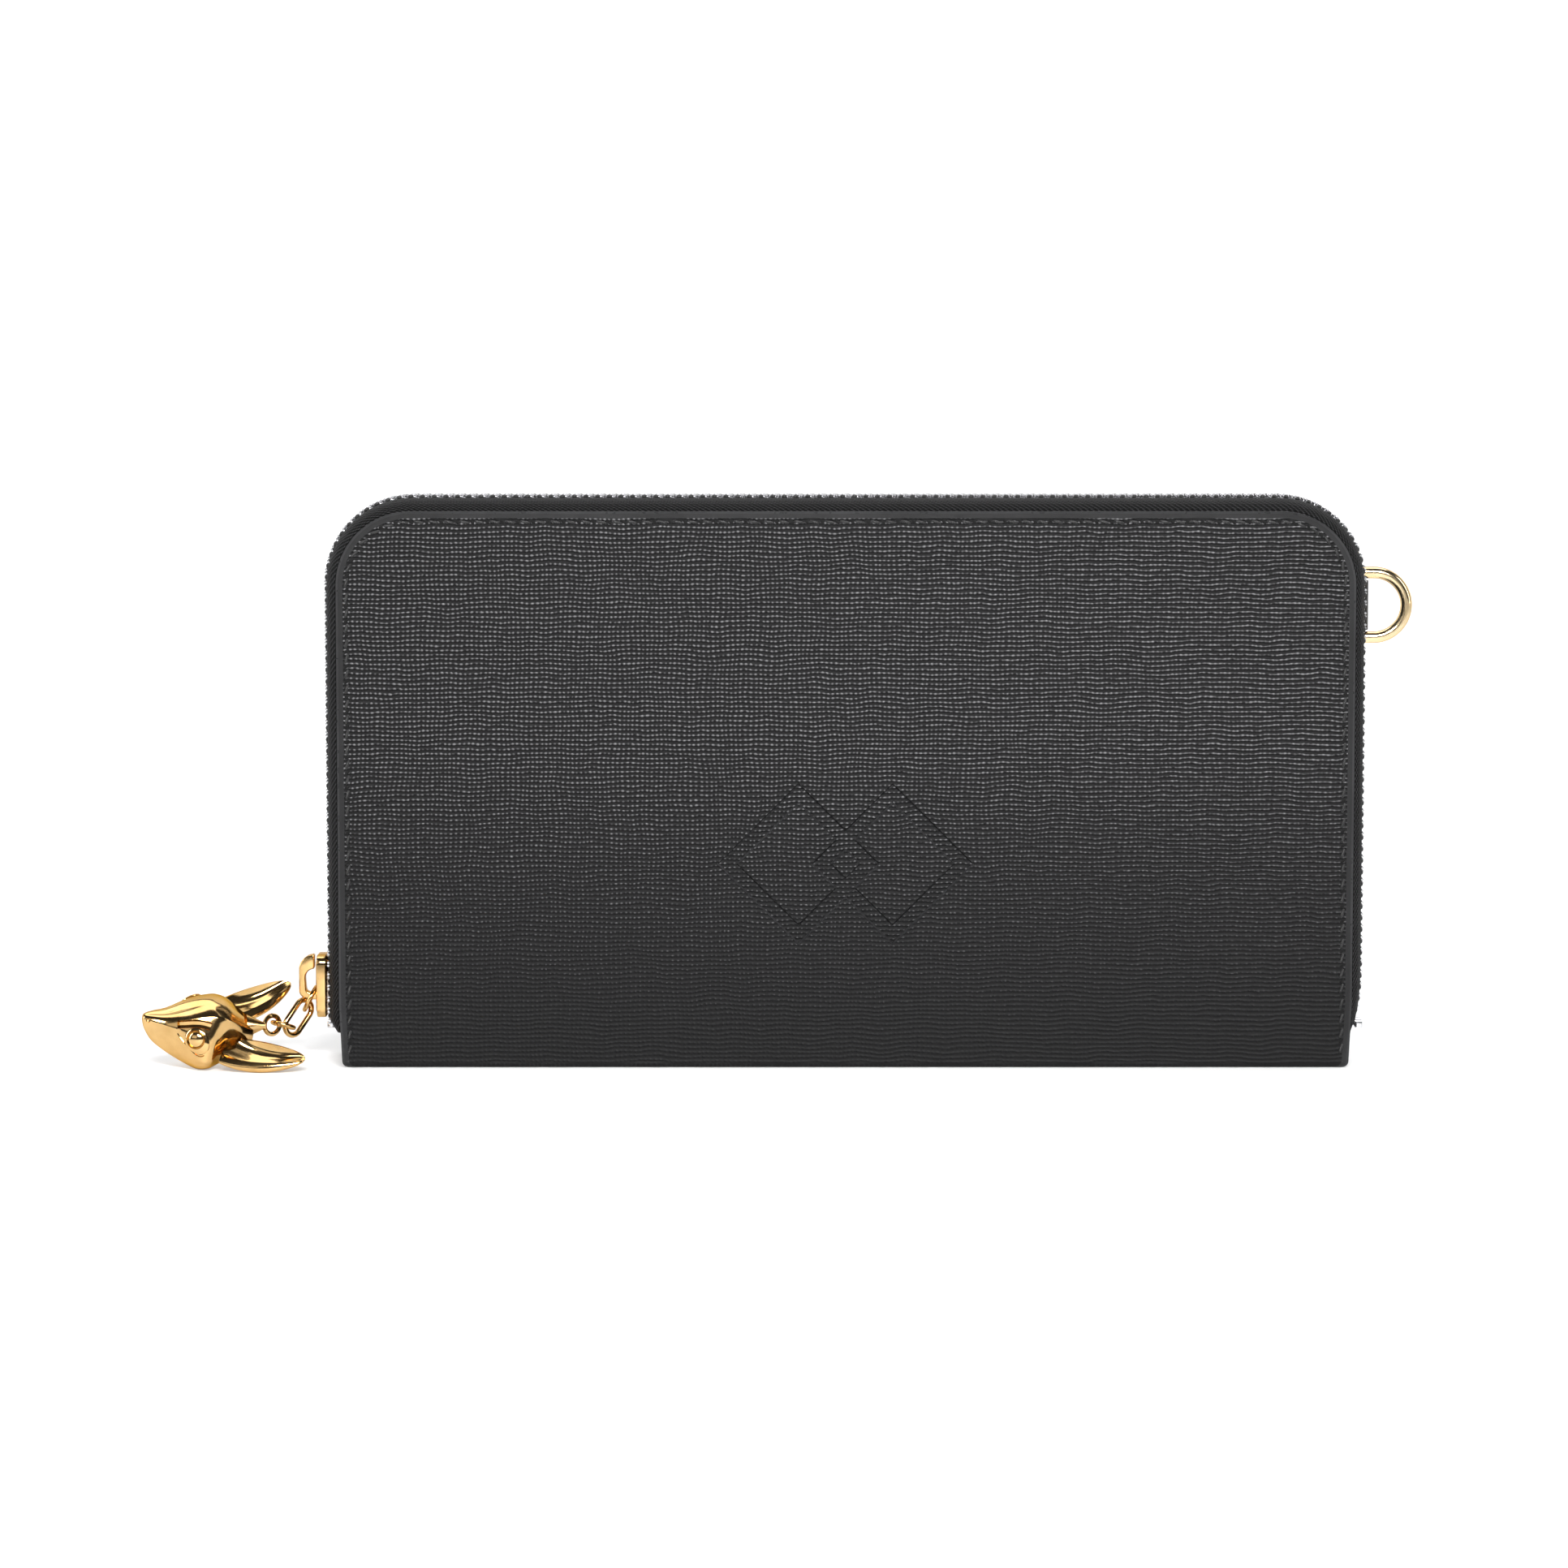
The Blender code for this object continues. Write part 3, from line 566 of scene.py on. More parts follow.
@dataclass(frozen=True)
class GrainedLeather:
    """Leather pressed with a fine crossed grain that loosens into wavy rows towards one end, its knot tops
    painted lighter as a painted highlight.

    The grain is laid on the piece's rest_place attribute, so it bends with the leather.
    """

    name: str = "grained_leather"
    dark: Colour = (0.0022, 0.0022, 0.0024)
    # light is the knot tops' colour: a painted highlight standing in for the glints of light on the grain
    light: Colour = (0.15, 0.15, 0.154)
    pitch: float = 0.9 * MM
    depth: float = 0.34 * MM
    pore_depth: float = 0.02 * MM
    roughness: float = 0.25
    matt: float = 0.62
    gloss: float = 0.17
    wander: float = 1.5 * MM
    drift: float = 2.4 * MM
    sway: float = 1.7 * MM
    loosening: tuple[float, float] = (-20 * MM, 85 * MM)
    # Where the grain fades towards the foot, its painted highlight fades with it: painted shade at the bottom
    fading: tuple[float, float] = (4 * MM, 62 * MM)

    def ridges(self, g: Graph, along: object) -> bpy.types.NodeSocket:
        """Rounded ridges across a coordinate, one each pitch, from 0 to 1."""
        return g.math("MULTIPLY_ADD", g.wave(along, self.pitch), 0.5, 0.5)

    @staticmethod
    def stray(
        g: Graph, reach: float, scale: float, detail: float, place: object = None
    ) -> bpy.types.NodeSocket:
        """A slow shift to both sides, reach wide in all."""
        return g.math("MULTIPLY_ADD", g.noise(scale, detail, place), reach, -reach / 2)

    def relief(self, g: Graph) -> bpy.types.NodeSocket:
        """The grain's height: knots where rows and columns cross, over rows, fading towards the foot, where the
        lighter colour painted on the knots fades too as painted shade.
        """
        x, y, z = g.split(g.place)
        apart = {0: g.place, 1: (0.3, 0.2, 0.7)}
        elsewhere = g.node("ShaderNodeVectorMath", apart, operation="ADD").outputs[0]
        across = g.math("ADD", x, self.stray(g, self.wander, 170, 3))
        across = g.math("ADD", across, self.stray(g, self.drift, 45, 1))
        upward = g.math("ADD", g.math("ADD", z, y), self.stray(g, self.sway, 120, 3, elsewhere))
        rows, columns = self.ridges(g, upward), self.ridges(g, across)
        knots = g.math("MULTIPLY", g.math("POWER", rows, 1.3), g.math("POWER", columns, 1.3))
        knots = g.math("MULTIPLY", knots, g.ramp(x, *self.loosening, 1.0, 0.45))
        threads = g.math("MULTIPLY", g.math("POWER", rows, 1.5), g.ramp(x, *self.loosening, 0.55, 0.78))
        patchy = g.ramp(g.noise(900, 2), 0.3, 0.6, 0.5, 1.0)
        # Flattening the knots towards the foot also dims their painted highlight there: painted shade
        patchy = g.math("MULTIPLY", patchy, g.ramp(z, *self.fading, 0.3, 1.0))
        return g.math("MULTIPLY", g.math("MULTIPLY_ADD", knots, 0.8, threads), patchy)

    def material(self) -> bpy.types.Material:
        """Builds the finish."""
        g = Graph(self.name)
        g.place = g.node("ShaderNodeAttribute", attribute_name="rest_place").outputs["Vector"]
        height = self.relief(g)
        pores = g.bump(g.noise(5200, 2), self.pore_depth, 0.5)
        worn = g.ramp(height, 0.15, 0.8, self.matt, self.roughness)
        # The knot tops are painted lighter than the valleys: a painted highlight for the glints of light on the
        # grain
        return g.set(
            Base_Color=g.blend(g.math("POWER", g.ramp(height, 0.3, 1.0), 1.7), self.dark, self.light),
            Roughness=g.math("MULTIPLY_ADD", g.noise(700, 2), 0.1, worn),
            Normal=g.bump(height, self.depth, 1.0, pores),
            Specular_IOR_Level=self.gloss,
        )


@dataclass(frozen=True)
class SmoothLeather:
    """Plain calf leather with pores and fine wrinkles."""

    name: str
    colour: Colour = (0.0042, 0.0042, 0.0045)
    worn: Colour = (0.009, 0.009, 0.0095)
    roughness: float = 0.4
    depth: float = 0.03 * MM
    gloss: float = 0.26

    def material(self) -> bpy.types.Material:
        """Builds the finish."""
        g = Graph(self.name)
        pores = g.node("ShaderNodeTexVoronoi", {"Vector": g.place, "Scale": 2600.0}).outputs["Distance"]
        wrinkles = g.noise(800, 4)
        height = g.math("MULTIPLY_ADD", pores, 0.5, wrinkles)
        return g.set(
            Base_Color=g.blend(g.ramp(g.noise(60, 3), 0.35, 0.7), self.colour, self.worn),
            Roughness=g.math("MULTIPLY_ADD", wrinkles, 0.2, self.roughness - 0.1),
            Normal=g.bump(height, self.depth, 0.8),
            Specular_IOR_Level=self.gloss,
        )


@dataclass(frozen=True)
class Twill:
    """Woven tape with a diagonal rib, laid along the piece's own UV map."""

    name: str
    length: float
    width: float
    rib: float = 1.15 * MM
    yarn: float = 0.55 * 1.15 * MM
    slant: float = 0.8
    depth: float = 0.34 * MM
    gloss: float = 0.12
    colour: Colour = (0.0006, 0.0006, 0.0006)
    light: Colour = (0.04, 0.04, 0.042)

    def material(self) -> bpy.types.Material:
        """Builds the finish."""
        g = Graph(self.name)
        u, v, _ = g.split(g.uv)
        along, across = g.math("MULTIPLY", v, self.length), g.math("MULTIPLY", u, self.width)
        ribs = g.wave(g.math("MULTIPLY_ADD", across, self.slant, along), self.rib)
        yarns = g.math("MULTIPLY_ADD", g.wave(across, self.yarn), 0.2, 0.5)
        fuzz = g.noise(3500, 3)
        height = g.math("MULTIPLY_ADD", fuzz, 0.35, g.math("MULTIPLY_ADD", ribs, 0.3, yarns))
        return g.set(
            Base_Color=g.blend(g.ramp(height, 0.75, 1.15), self.colour, self.light),
            Roughness=g.math("MULTIPLY_ADD", fuzz, 0.2, 0.55),
            Normal=g.bump(height, self.depth, 1.0),
            Specular_IOR_Level=self.gloss,
        )


@dataclass(frozen=True)
class LiningCloth:
    """Fine ribbed lining."""

    name: str = "lining_cloth"
    colour: Colour = (0.006, 0.006, 0.0065)
    light: Colour = (0.03, 0.03, 0.032)
    rib: float = 0.5 * MM
    depth: float = 0.07 * MM
    gloss: float = 0.2

    def material(self) -> bpy.types.Material:
        """Builds the finish."""
        g = Graph(self.name)
        x, y, z = g.split(g.place)
        warp, weft = g.wave(x, self.rib), g.wave(g.math("ADD", y, z), self.rib)
        weave = g.math("MULTIPLY_ADD", g.math("MULTIPLY", warp, weft), 0.4, 0.5)
        slub = g.noise(500, 4)
        return g.set(
            Base_Color=g.blend(g.math("MULTIPLY", weave, slub), self.colour, self.light),
            Roughness=g.math("MULTIPLY_ADD", slub, 0.25, 0.62),
            Normal=g.bump(g.math("MULTIPLY_ADD", slub, 0.4, weave), self.depth, 0.9),
            Specular_IOR_Level=self.gloss,
        )


@dataclass(frozen=True)
class PulpBoard:
    """Stiffening board of pressed fibre."""

    name: str = "board"
    colour: Colour = (0.16, 0.135, 0.105)
    light: Colour = (0.34, 0.3, 0.24)

    def material(self) -> bpy.types.Material:
        """Builds the finish."""
        g = Graph(self.name)
        fibre = g.noise(900, 5, g.stretched((1, 1, 6)), 0.7)
        return g.set(
            Base_Color=g.blend(g.ramp(fibre, 0.3, 0.7), self.colour, self.light),
            Roughness=g.math("MULTIPLY_ADD", fibre, 0.1, 0.85),
            Normal=g.bump(fibre, 0.05 * MM, 0.8),
        )


@dataclass(frozen=True)
class PlatedMetal:
    """Polished plating with faint waves, hairlines and a little dulling."""

    name: str
    colour: Colour
    shade: Colour
    roughness: float = 0.09
    rim: Colour = (0.55, 0.4, 0.22)
    wave: float = 0.02 * MM

    def material(self) -> bpy.types.Material:
        """Builds the finish."""
        g = Graph(self.name)
        cloud = g.noise(260, 4)
        hairs = g.noise(1800, 3, g.stretched((1, 9, 1)), 0.65)
        rough = g.math("MULTIPLY_ADD", g.ramp(hairs, 0.45, 0.75), 0.07, self.roughness)
        return g.set(
            Base_Color=g.blend(g.ramp(cloud, 0.3, 0.75), self.colour, self.shade),
            Metallic=1.0,
            Roughness=g.math("MULTIPLY_ADD", cloud, 0.04, rough),
            Normal=g.bump(g.noise(420, 2), self.wave, 0.6),
            Specular_Tint=(*self.rim, 1),
        )


@dataclass(frozen=True)
class Thread:
    """Waxed black sewing thread with its twist."""

    name: str = "thread"
    colour: Colour = (0.002, 0.002, 0.002)
    light: Colour = (0.008, 0.008, 0.008)
    twist: float = 0.35 * MM
    depth: float = 0.03 * MM

    def material(self) -> bpy.types.Material:
        """Builds the finish."""
        g = Graph(self.name)
        x, y, z = g.split(g.place)
        strands = g.wave(g.math("ADD", g.math("ADD", x, z), g.math("MULTIPLY", y, 1.5)), self.twist)
        return g.set(
            Base_Color=g.blend(g.ramp(strands, -1, 1), self.colour, self.light),
            Roughness=g.math("MULTIPLY_ADD", strands, 0.08, 0.5),
            Normal=g.bump(strands, self.depth, 0.7),
        )


GRAIN = GrainedLeather()
CALF = SmoothLeather("smooth_leather")
# Edge paint, lighter than the calf: real on the cut edges, and also a painted highlight on the rim band and on
# the pressed mark's upward walls
EDGE_PAINT_AND_HIGHLIGHT = SmoothLeather("edge_paint", (0.012, 0.012, 0.0125), (0.022, 0.022, 0.023), 0.3, 0.012 * MM)
LEATHER_BACK = SmoothLeather("leather_back", (0.02, 0.018, 0.017), (0.05, 0.045, 0.042), 0.85, 0.08 * MM)
# Near-black slits at the stitches' ends: painted shade standing in for the shade inside the awl holes
AWL_HOLE_SHADE = SmoothLeather("awl_hole", (0.0004, 0.0004, 0.0004), (0.001, 0.001, 0.001), 0.85)
TWILL = Twill("zip_twill", length=405 * MM, width=16 * MM)
LINING = LiningCloth()
BOARD = PulpBoard()
GOLD = PlatedMetal("gold_metal", (0.7, 0.46, 0.2), (0.56, 0.35, 0.13))
PALE_GOLD = PlatedMetal("pale_gold_metal", (0.9, 0.73, 0.46), (0.84, 0.64, 0.37), 0.12)
ZIP_METAL = PlatedMetal("zip_metal", (0.78, 0.78, 0.8), (0.6, 0.6, 0.62), 0.2, (0.6, 0.6, 0.6))
THREAD = Thread()


# ---------------------------------------------------------------- the wallet


@dataclass
class Outline:
    """The covers' outline: an arch with rounded top corners."""

    half: float
    top: float
    radius: float = 14.2 * MM

    def arch(self, out: float, bottom: float, step: float) -> list[tuple[float, float, float, float]]:
        """Points along the arch that lies out beyond the outline, up the left side and down the right.

        Args:
            out: How far beyond the outline it lies; negative is inside.
            bottom: The height of both ends.
            step: The distance between points, about.

        Returns:
            For each point x, z and the outward direction's x and z.
        """
        radius, side = self.radius + out, self.top - self.radius - bottom
        across, bend = 2 * (self.half - self.radius), math.pi / 2 * radius
        total = 2 * side + 2 * bend + across
        count = round(total / step)
        points = []
        for k in range(count + 1):
            s = total * k / count
            if s < side:
                points.append((-self.half - out, bottom + s, -1.0, 0.0))
                continue
            if s > total - side:
                points.append((self.half + out, bottom + total - s, 1.0, 0.0))
                continue
            s -= side
            if s < bend or s > bend + across:
                first = s < bend
                turn = math.pi - s / radius if first else math.pi / 2 - (s - bend - across) / radius
                centre = -(self.half - self.radius) if first else self.half - self.radius
                points.append(
                    (
                        centre + radius * math.cos(turn),
                        self.top - self.radius + radius * math.sin(turn),
                        math.cos(turn),
                        math.sin(turn),
                    )
                )
            else:
                points.append((s - bend - self.half + self.radius, self.top + out, 0.0, 1.0))
        return points


@dataclass
class LeatherSkin:
    """The one piece of leather of both covers and the spine, with its stitching and pressed mark."""

    outline: Outline
    depth: float
    leather: float = 1.2 * MM
    front_fold: float = 1.3 * MM
    back_fold: float = 2.6 * MM
    taper_top: float = 12.0 * MM
    taper: float = 0.006
    bottom_corner: float = 1.3 * MM
    rim: float = 0.4 * MM
    band: float = 0.9 * MM
    bend_rows: Sequence[float] = (-9.0 * MM, -8.3 * MM, -7.5 * MM)
    bend_start: float = -7.5 * MM
    bend_end: float = -9.7 * MM
    stitch_inset: float = 2.0 * MM
    stitch_pitch: float = 2.9 * MM
    stitch_length: float = 2.0 * MM
    stitch_thick: float = 0.3 * MM
    stitch_sink: float = 0.14 * MM
    stitch_lift: float = 0.02 * MM
    stitch_slant: float = 16.0
    stitch_bottom: float = 3.5 * MM
    hole_size: tuple[float, float, float] = (0.62 * MM, 0.06 * MM, 0.3 * MM)
    hole_slant: float = 48.0
    mark_height: float = 39.5 * MM
    mark_depth: float = 0.45 * MM
    mark_wall: float = 0.55 * MM
    mark_half: float = 16.0 * MM
    mark_stroke: float = 3.4 * MM
    mark_shift: float = 9.0 * MM

    def sheet(self) -> bpy.types.Object:
        """The folded outer surface: a block with rounded corners, opened at its sides and top."""
        o = self.outline
        obj = block("leather_skin", (-o.half, -self.depth, 0), (o.half, self.depth, o.top))
        with editing(obj, "EDGE"):
            pick(obj, lambda e: abs(middle(e).y) < TINY and middle(e).z > o.top - TINY, "edges")
            bpy.ops.mesh.bevel(offset=o.radius, segments=16, affect="EDGES")
            for side, fold in ((-1, self.front_fold), (1, self.back_fold)):
                pick(
                    obj,
                    lambda e: abs(middle(e).x) < TINY and middle(e).z < TINY and middle(e).y * side > 0,
                    "edges",
                )
                bpy.ops.mesh.bevel(offset=fold, segments=6, affect="EDGES")
        with editing(obj):
            pick(obj, lambda f: abs(f.normal.y) < 0.1 and f.normal.z > -0.1)
            bpy.ops.mesh.delete(type="FACE")
            for y in self.bend_rows:
                slice_at(Y_WAY * y, Y_WAY)
            for z in (0.35 * self.bottom_corner, self.bottom_corner, self.taper_top):
                slice_at(Z_WAY * z, Z_WAY)
        for v in obj.data.vertices:
            if v.co.z < self.taper_top:
                v.co.x *= 1 - self.taper * (1 - v.co.z / self.taper_top)
            drop = max(0.0, self.bottom_corner - v.co.z)
            v.co.x -= math.copysign(self.bottom_corner - math.sqrt(self.bottom_corner**2 - drop**2), v.co.x)
        return obj

    def line_bands(self, obj: bpy.types.Object) -> None:
        """Insets the painted rim, whose lighter edge paint is partly a painted highlight along the rounded edge,
        and the smooth band along the leather's whole outline.
        """
        for finish in (GRAIN, LEATHER_BACK, EDGE_PAINT_AND_HIGHLIGHT, CALF):
            obj.data.materials.append(made(finish))
        with editing(obj):
            # The rim band gets the lighter edge paint, partly a painted highlight along the rounded edge
            for width, index in ((self.rim, 2), (self.band, 3)):
                pick(obj, lambda f: f.material_index == 0)
                bpy.ops.mesh.inset(thickness=width, use_boundary=True, use_outset=False)
                paint(obj, lambda f: not f.select and f.material_index == 0, index)

    def lozenge(self, name: str, x: float) -> bpy.types.Object:
        """A four-cornered ring with tapered walls, its middle at x, that presses one lozenge."""
        deselect()
        bpy.ops.mesh.primitive_circle_add(vertices=4, radius=self.mark_half, fill_type="NOTHING")
        obj = bpy.context.active_object
        obj.name = name
        for v in obj.data.vertices:
            v.co = (v.co.x, 0, v.co.y)
        share_per_width = math.sqrt(2) / self.mark_half
        inner = 1 - self.mark_stroke * share_per_width
        with editing(obj, "EDGE"):
            bpy.ops.mesh.select_all(action="SELECT")
            bpy.ops.mesh.extrude_edges_move()
            bpy.ops.transform.resize(value=(inner, 1, inner))
        modify(obj, "SOLIDIFY", thickness=2 * self.mark_depth, offset=0)
        slope = self.mark_wall * share_per_width
        for v in obj.data.vertices:
            if v.co.y > 0:
                reach = (abs(v.co.x) + abs(v.co.z)) / self.mark_half
                share = 1 - slope if reach > (1 + inner) / 2 else (inner + slope) / inner
                v.co.x, v.co.z = v.co.x * share, v.co.z * share
        obj.location = (x, -self.depth, self.mark_height)
        freeze(obj)
        face_outward(obj)
        return obj

    def press_mark(self, obj: bpy.types.Object) -> None:
        """Presses two crossed lozenges into the front cover."""
        cut(obj, self.lozenge("left_lozenge", -self.mark_shift))
        cut(obj, self.lozenge("right_lozenge", self.mark_shift))

    def polish_mark(self, obj: bpy.types.Object) -> None:
        """Paints the mark's upward walls with the lighter edge paint as a painted highlight, and its downward
        ones with the darker calf as painted shade.
        """
        reach = self.mark_shift + self.mark_half

        def is_wall(face: bmesh.types.BMFace, way: int) -> bool:
            """Whether a face is one of the mark's sloping walls, facing up for 1 or down for -1."""
            place = face.calc_center_median()
            slopes = -0.95 < face.normal.y < -0.3 and face.normal.z * way > 0.1
            return slopes and abs(place.x) < reach and place.z > self.taper_top

        with editing(obj):
            # Painted highlight on the walls that face up, painted shade on those that face down
            paint(obj, lambda f: is_wall(f, 1), 2)
            paint(obj, lambda f: is_wall(f, -1), 3)

    def stitch(self) -> bpy.types.Object:
        """One stitch lying along X, thick in its middle and sinking at its ends."""

        def place(share: float, turn: float) -> Vector:
            """The stitch's point for a place on the sphere."""
            round_off = self.stitch_thick * math.sin(math.pi * share) ** 0.45
            sink = self.stitch_sink * (2 * share - 1) ** 2
            along = self.stitch_length / 2 * math.cos(math.pi * share)
            return Vector((along, round_off * math.cos(turn) + sink, round_off * math.sin(turn)))

        return shaped_sphere("stitch", 6, 6, place)

    def hole(self) -> bpy.types.Object:
        """One awl hole's painted shade: a thin dark slit along X lying on the leather's face, standing in for
        the shade inside the hole.
        """
        return shaped_sphere("awl_hole", 6, 4, lambda share, turn: ball_point(share, turn, *self.hole_size))

    def sew(
        self, side: Side, name: str, first: bpy.types.Object, shift: float, slant: float, lift: float
    ) -> bpy.types.Object:
        """Copies a piece along the stitching line of one cover.

        Args:
            side: The cover.
            name: The row's name.
            first: The piece, lying along X at the origin; it's used up.
            shift: How far along the line the row starts, as a share of a stitch.
            slant: The piece's slant to the line, in degrees.
            lift: How far the piece stands off the leather's face.

        Returns:
            The row as one object.
        """
        fine = 8
        line = self.outline.arch(-self.stitch_inset, self.stitch_bottom, self.stitch_pitch / fine)
        mirror = Matrix.Scale(-side.value, 4, Y_WAY)
        places = []
        for x, z, out_x, out_z in line[round(shift * fine) :: fine]:
            turn = math.atan2(out_z, out_x) - math.pi / 2 + math.radians(slant) * side.value
            spot = Matrix.Translation((x, side.value * (self.depth + lift), z))
            places.append(spot @ Matrix.Rotation(-turn, 4, "Y") @ mirror)
        obj = repeat(f"{side.word}_{name}", first, places)
        face_outward(obj)
        smooth(obj, 60)
        return obj

    def stitching(self, side: Side) -> None:
        """The row of stitches round one cover, and the dark slits of painted shade that stand for the awl holes
        they run through.
        """
        threads = self.sew(side, "stitching", self.stitch(), 0.0, self.stitch_slant, self.stitch_lift)
        hand_over(threads, side.body, THREAD)
        # The awl holes are dark slits of painted shade laid on the leather's face, not cut holes
        hole_shades = self.sew(side, "awl_holes", self.hole(), 0.5, self.hole_slant, 0.0)
        hand_over(hole_shades, side.body, AWL_HOLE_SHADE)

    def build(self) -> None:
        """Builds the skin in one piece round both halves and the spine, with extra loops across the spine's
        front for its bend between the two halves.
        """
        obj = self.sheet()
        self.line_bands(obj)
        modify(
            obj, "SOLIDIFY", thickness=self.leather, offset=-1, use_even_offset=True,
            material_offset=1, material_offset_rim=2,
        )

        def is_back(face: bmesh.types.BMFace) -> bool:
            """Whether a banded face lies on the leather's inner side."""
            flat = face.material_index > 1 and abs(face.normal.y) > 0.9
            return flat and abs(face.calc_center_median().y) < self.depth - self.leather / 2

        with editing(obj):
            paint(obj, lambda f: f.material_index > 3, 3)
            paint(obj, is_back, 1)
        self.press_mark(obj)
        self.polish_mark(obj)
        round_edges(obj, 0.16 * MM, 3, 50)
        smooth(obj, 40, flat_faces=True)
        at_rest = obj.data.attributes.new("rest_place", "FLOAT_VECTOR", "POINT")
        for vertex, spot in zip(obj.data.vertices, at_rest.data):
            spot.vector = vertex.co
        hand_over(obj, None, None, ("front_cover", "back_cover", "spine_cover"))
        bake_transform(obj)
        for side in Side:
            self.stitching(side)


@dataclass
class ZipSide:
    """One half of the long zip: its tape, its looped teeth and their stops."""

    outline: Outline
    side: Side
    # The tape's section from cover to teeth: out beyond the outline and away from the middle
    section: Section = (
        (-4.5 * MM, 9.2 * MM), (-0.9 * MM, 9.2 * MM), (0.3 * MM, 9.0 * MM), (1.1 * MM, 8.3 * MM),
        (1.65 * MM, 7.2 * MM), (1.95 * MM, 5.9 * MM), (2.1 * MM, 4.4 * MM), (2.1 * MM, 2.75 * MM),
    )
    bottom: float = 6.6 * MM
    teeth_bottom: float = 7.8 * MM
    thickness: float = 0.45 * MM
    flat_size: tuple[float, float] = (13.76 * MM, 380 * MM)
    tape_step: float = 2.0 * MM
    pitch: float = 2.24 * MM
    quarters: int = 4
    wire: float = 0.26 * MM
    leg_gap: float = 0.3 * MM
    teeth_out: float = 2.35 * MM
    teeth_depth: float = 1.3 * MM
    bead_out: float = 2.5 * MM
    bead_depth: float = 2.2 * MM
    bead_size: tuple[float, float, float] = (0.85 * MM, 0.56 * MM, 0.45 * MM)
    curl_top: float = 20 * MM
    # Where each end starts to run into the wallet, and over what height
    curl: dict[End, tuple[float, float]] = field(
        default_factory=lambda: {End.LEFT: (9.0 * MM, 2.6 * MM), End.RIGHT: (18.0 * MM, 11.2 * MM)}
    )

    def drawn_in(self, x: float, z: float) -> float:
        """How far out the tape still stands at a place, from 1 to 0 where its ends run into the wallet."""
        start, height = self.curl[End.LEFT if x < 0 else End.RIGHT]
        if z >= start:
            return 1.0
        return math.sqrt(max(0.0, 1 - ((start - z) / height) ** 2))

    def line(self, out: float, step: float, bottom: float | None = None) -> list[tuple[Vector, Vector]]:
        """Points along the zip with their outward directions, drawn in at its ends.

        Args:
            out: How far the line lies beyond the covers' outline.
            step: The distance between points, about.
            bottom: The ends' height, if it isn't the tape's.

        Returns:
            Point and direction pairs, with Y left at 0.
        """
        found = []
        for x, z, out_x, out_z in self.outline.arch(out, bottom or self.bottom, step):
            back = max(out + 0.2 * MM, 0.0) * (1 - self.drawn_in(x, z)) if z < self.curl_top else 0.0
            way = Vector((out_x, 0, out_z))
            found.append((Vector((x, 0, z)) - way * back, way))
        return found

    def tape(self) -> bpy.types.Object:
        """The woven tape, cupped from the cover to the teeth."""
        rows = []
        steps = len(self.line(0, self.tape_step)) - 1
        for out, depth in self.section:
            points = self.line(out, self.tape_step)
            away = Y_WAY * self.side.value * depth
            rows.append([self.resampled(points, k / steps) + away for k in range(steps + 1)])
        obj = grid_sheet(f"{self.side.word}_tape", rows, self.thickness)
        if self.side is Side.BACK:
            low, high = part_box("d_ring_tab")
            margin = 0.6 * MM
            notch_low = (low[0] - margin, 6.3 * MM, low[2] - margin)
            cut(obj, block("notch", notch_low, (high[0], 10 * MM, high[2] + margin)))
        smooth(obj, 40)
        hand_over(obj, self.side.body, TWILL, (f"{self.side.word}_zip_tape",))
        return obj

    @staticmethod
    def resampled(points: list[tuple[Vector, Vector]], share: float) -> Vector:
        """The point at a share of the way along a list of points."""
        spot = share * (len(points) - 1)
        k = min(int(spot), len(points) - 2)
        return points[k][0].lerp(points[k + 1][0], spot - k)

    def tooth(self) -> bpy.types.Object:
        """One pair of wire loops, with X along the zip, its head towards +Y and its outer side towards +Z."""
        back, bend, radius = -1.25 * MM, 0.55 * MM, 0.45 * MM
        legs = []
        head = arc((0.6 * MM, 0), radius, -60, 60, 3)
        path = [(back, -radius), (bend, -radius), *head, (bend, radius), (back, radius)]
        for x in (-self.leg_gap, self.leg_gap):
            legs.append(tube("leg", [Vector((x, y, z)) for y, z in path], self.wire, sides=0))
        return join("tooth", legs)

    def row(
        self, name: str, first: bpy.types.Object, out: float, away: float, start: int
    ) -> bpy.types.Object:
        """Copies a piece along the zip, one each pitch.

        Args:
            name: The row's name.
            first: The piece, with X along the zip, Y towards the other row and Z outward; it's used up.
            out: How far beyond the outline the row lies.
            away: How far it lies from the wallet's middle plane.
            start: Where the row starts, in quarters of a pitch.

        Returns:
            The row.
        """
        points = self.line(out, self.pitch / self.quarters, self.teeth_bottom)
        inward = Y_WAY * -self.side.value
        places = []
        for k in range(start, len(points) - 1, self.quarters):
            spot, way = points[k]
            along = (points[k + 1][0] - points[max(k - 1, 0)][0]).normalized()
            outward = along.cross(inward)
            outward *= math.copysign(1, outward.dot(way))
            turn = Matrix((along, inward, outward)).transposed().to_4x4()
            places.append(Matrix.Translation(spot - inward * away) @ turn)
        return repeat(f"{self.side.word}_{name}", first, places)

    def teeth(self) -> None:
        """The row of teeth, modelled once and copied along the zip."""
        start = 0 if self.side is Side.FRONT else self.quarters // 2
        obj = self.row("teeth", self.tooth(), self.teeth_out, self.teeth_depth, start)
        face_outward(obj)
        smooth(obj, 50)
        hand_over(obj, self.side.body, ZIP_METAL, (f"{self.side.word}_zip_teeth",))

    def beads(self) -> None:
        """The black thread that ties each tooth down, showing as a bump between teeth."""

        def place(share: float, turn: float) -> Vector:
            """The bead's point for a place on the sphere."""
            y, x, z = ball_point(share, turn, *self.bead_size)
            return Vector((x, y, z))

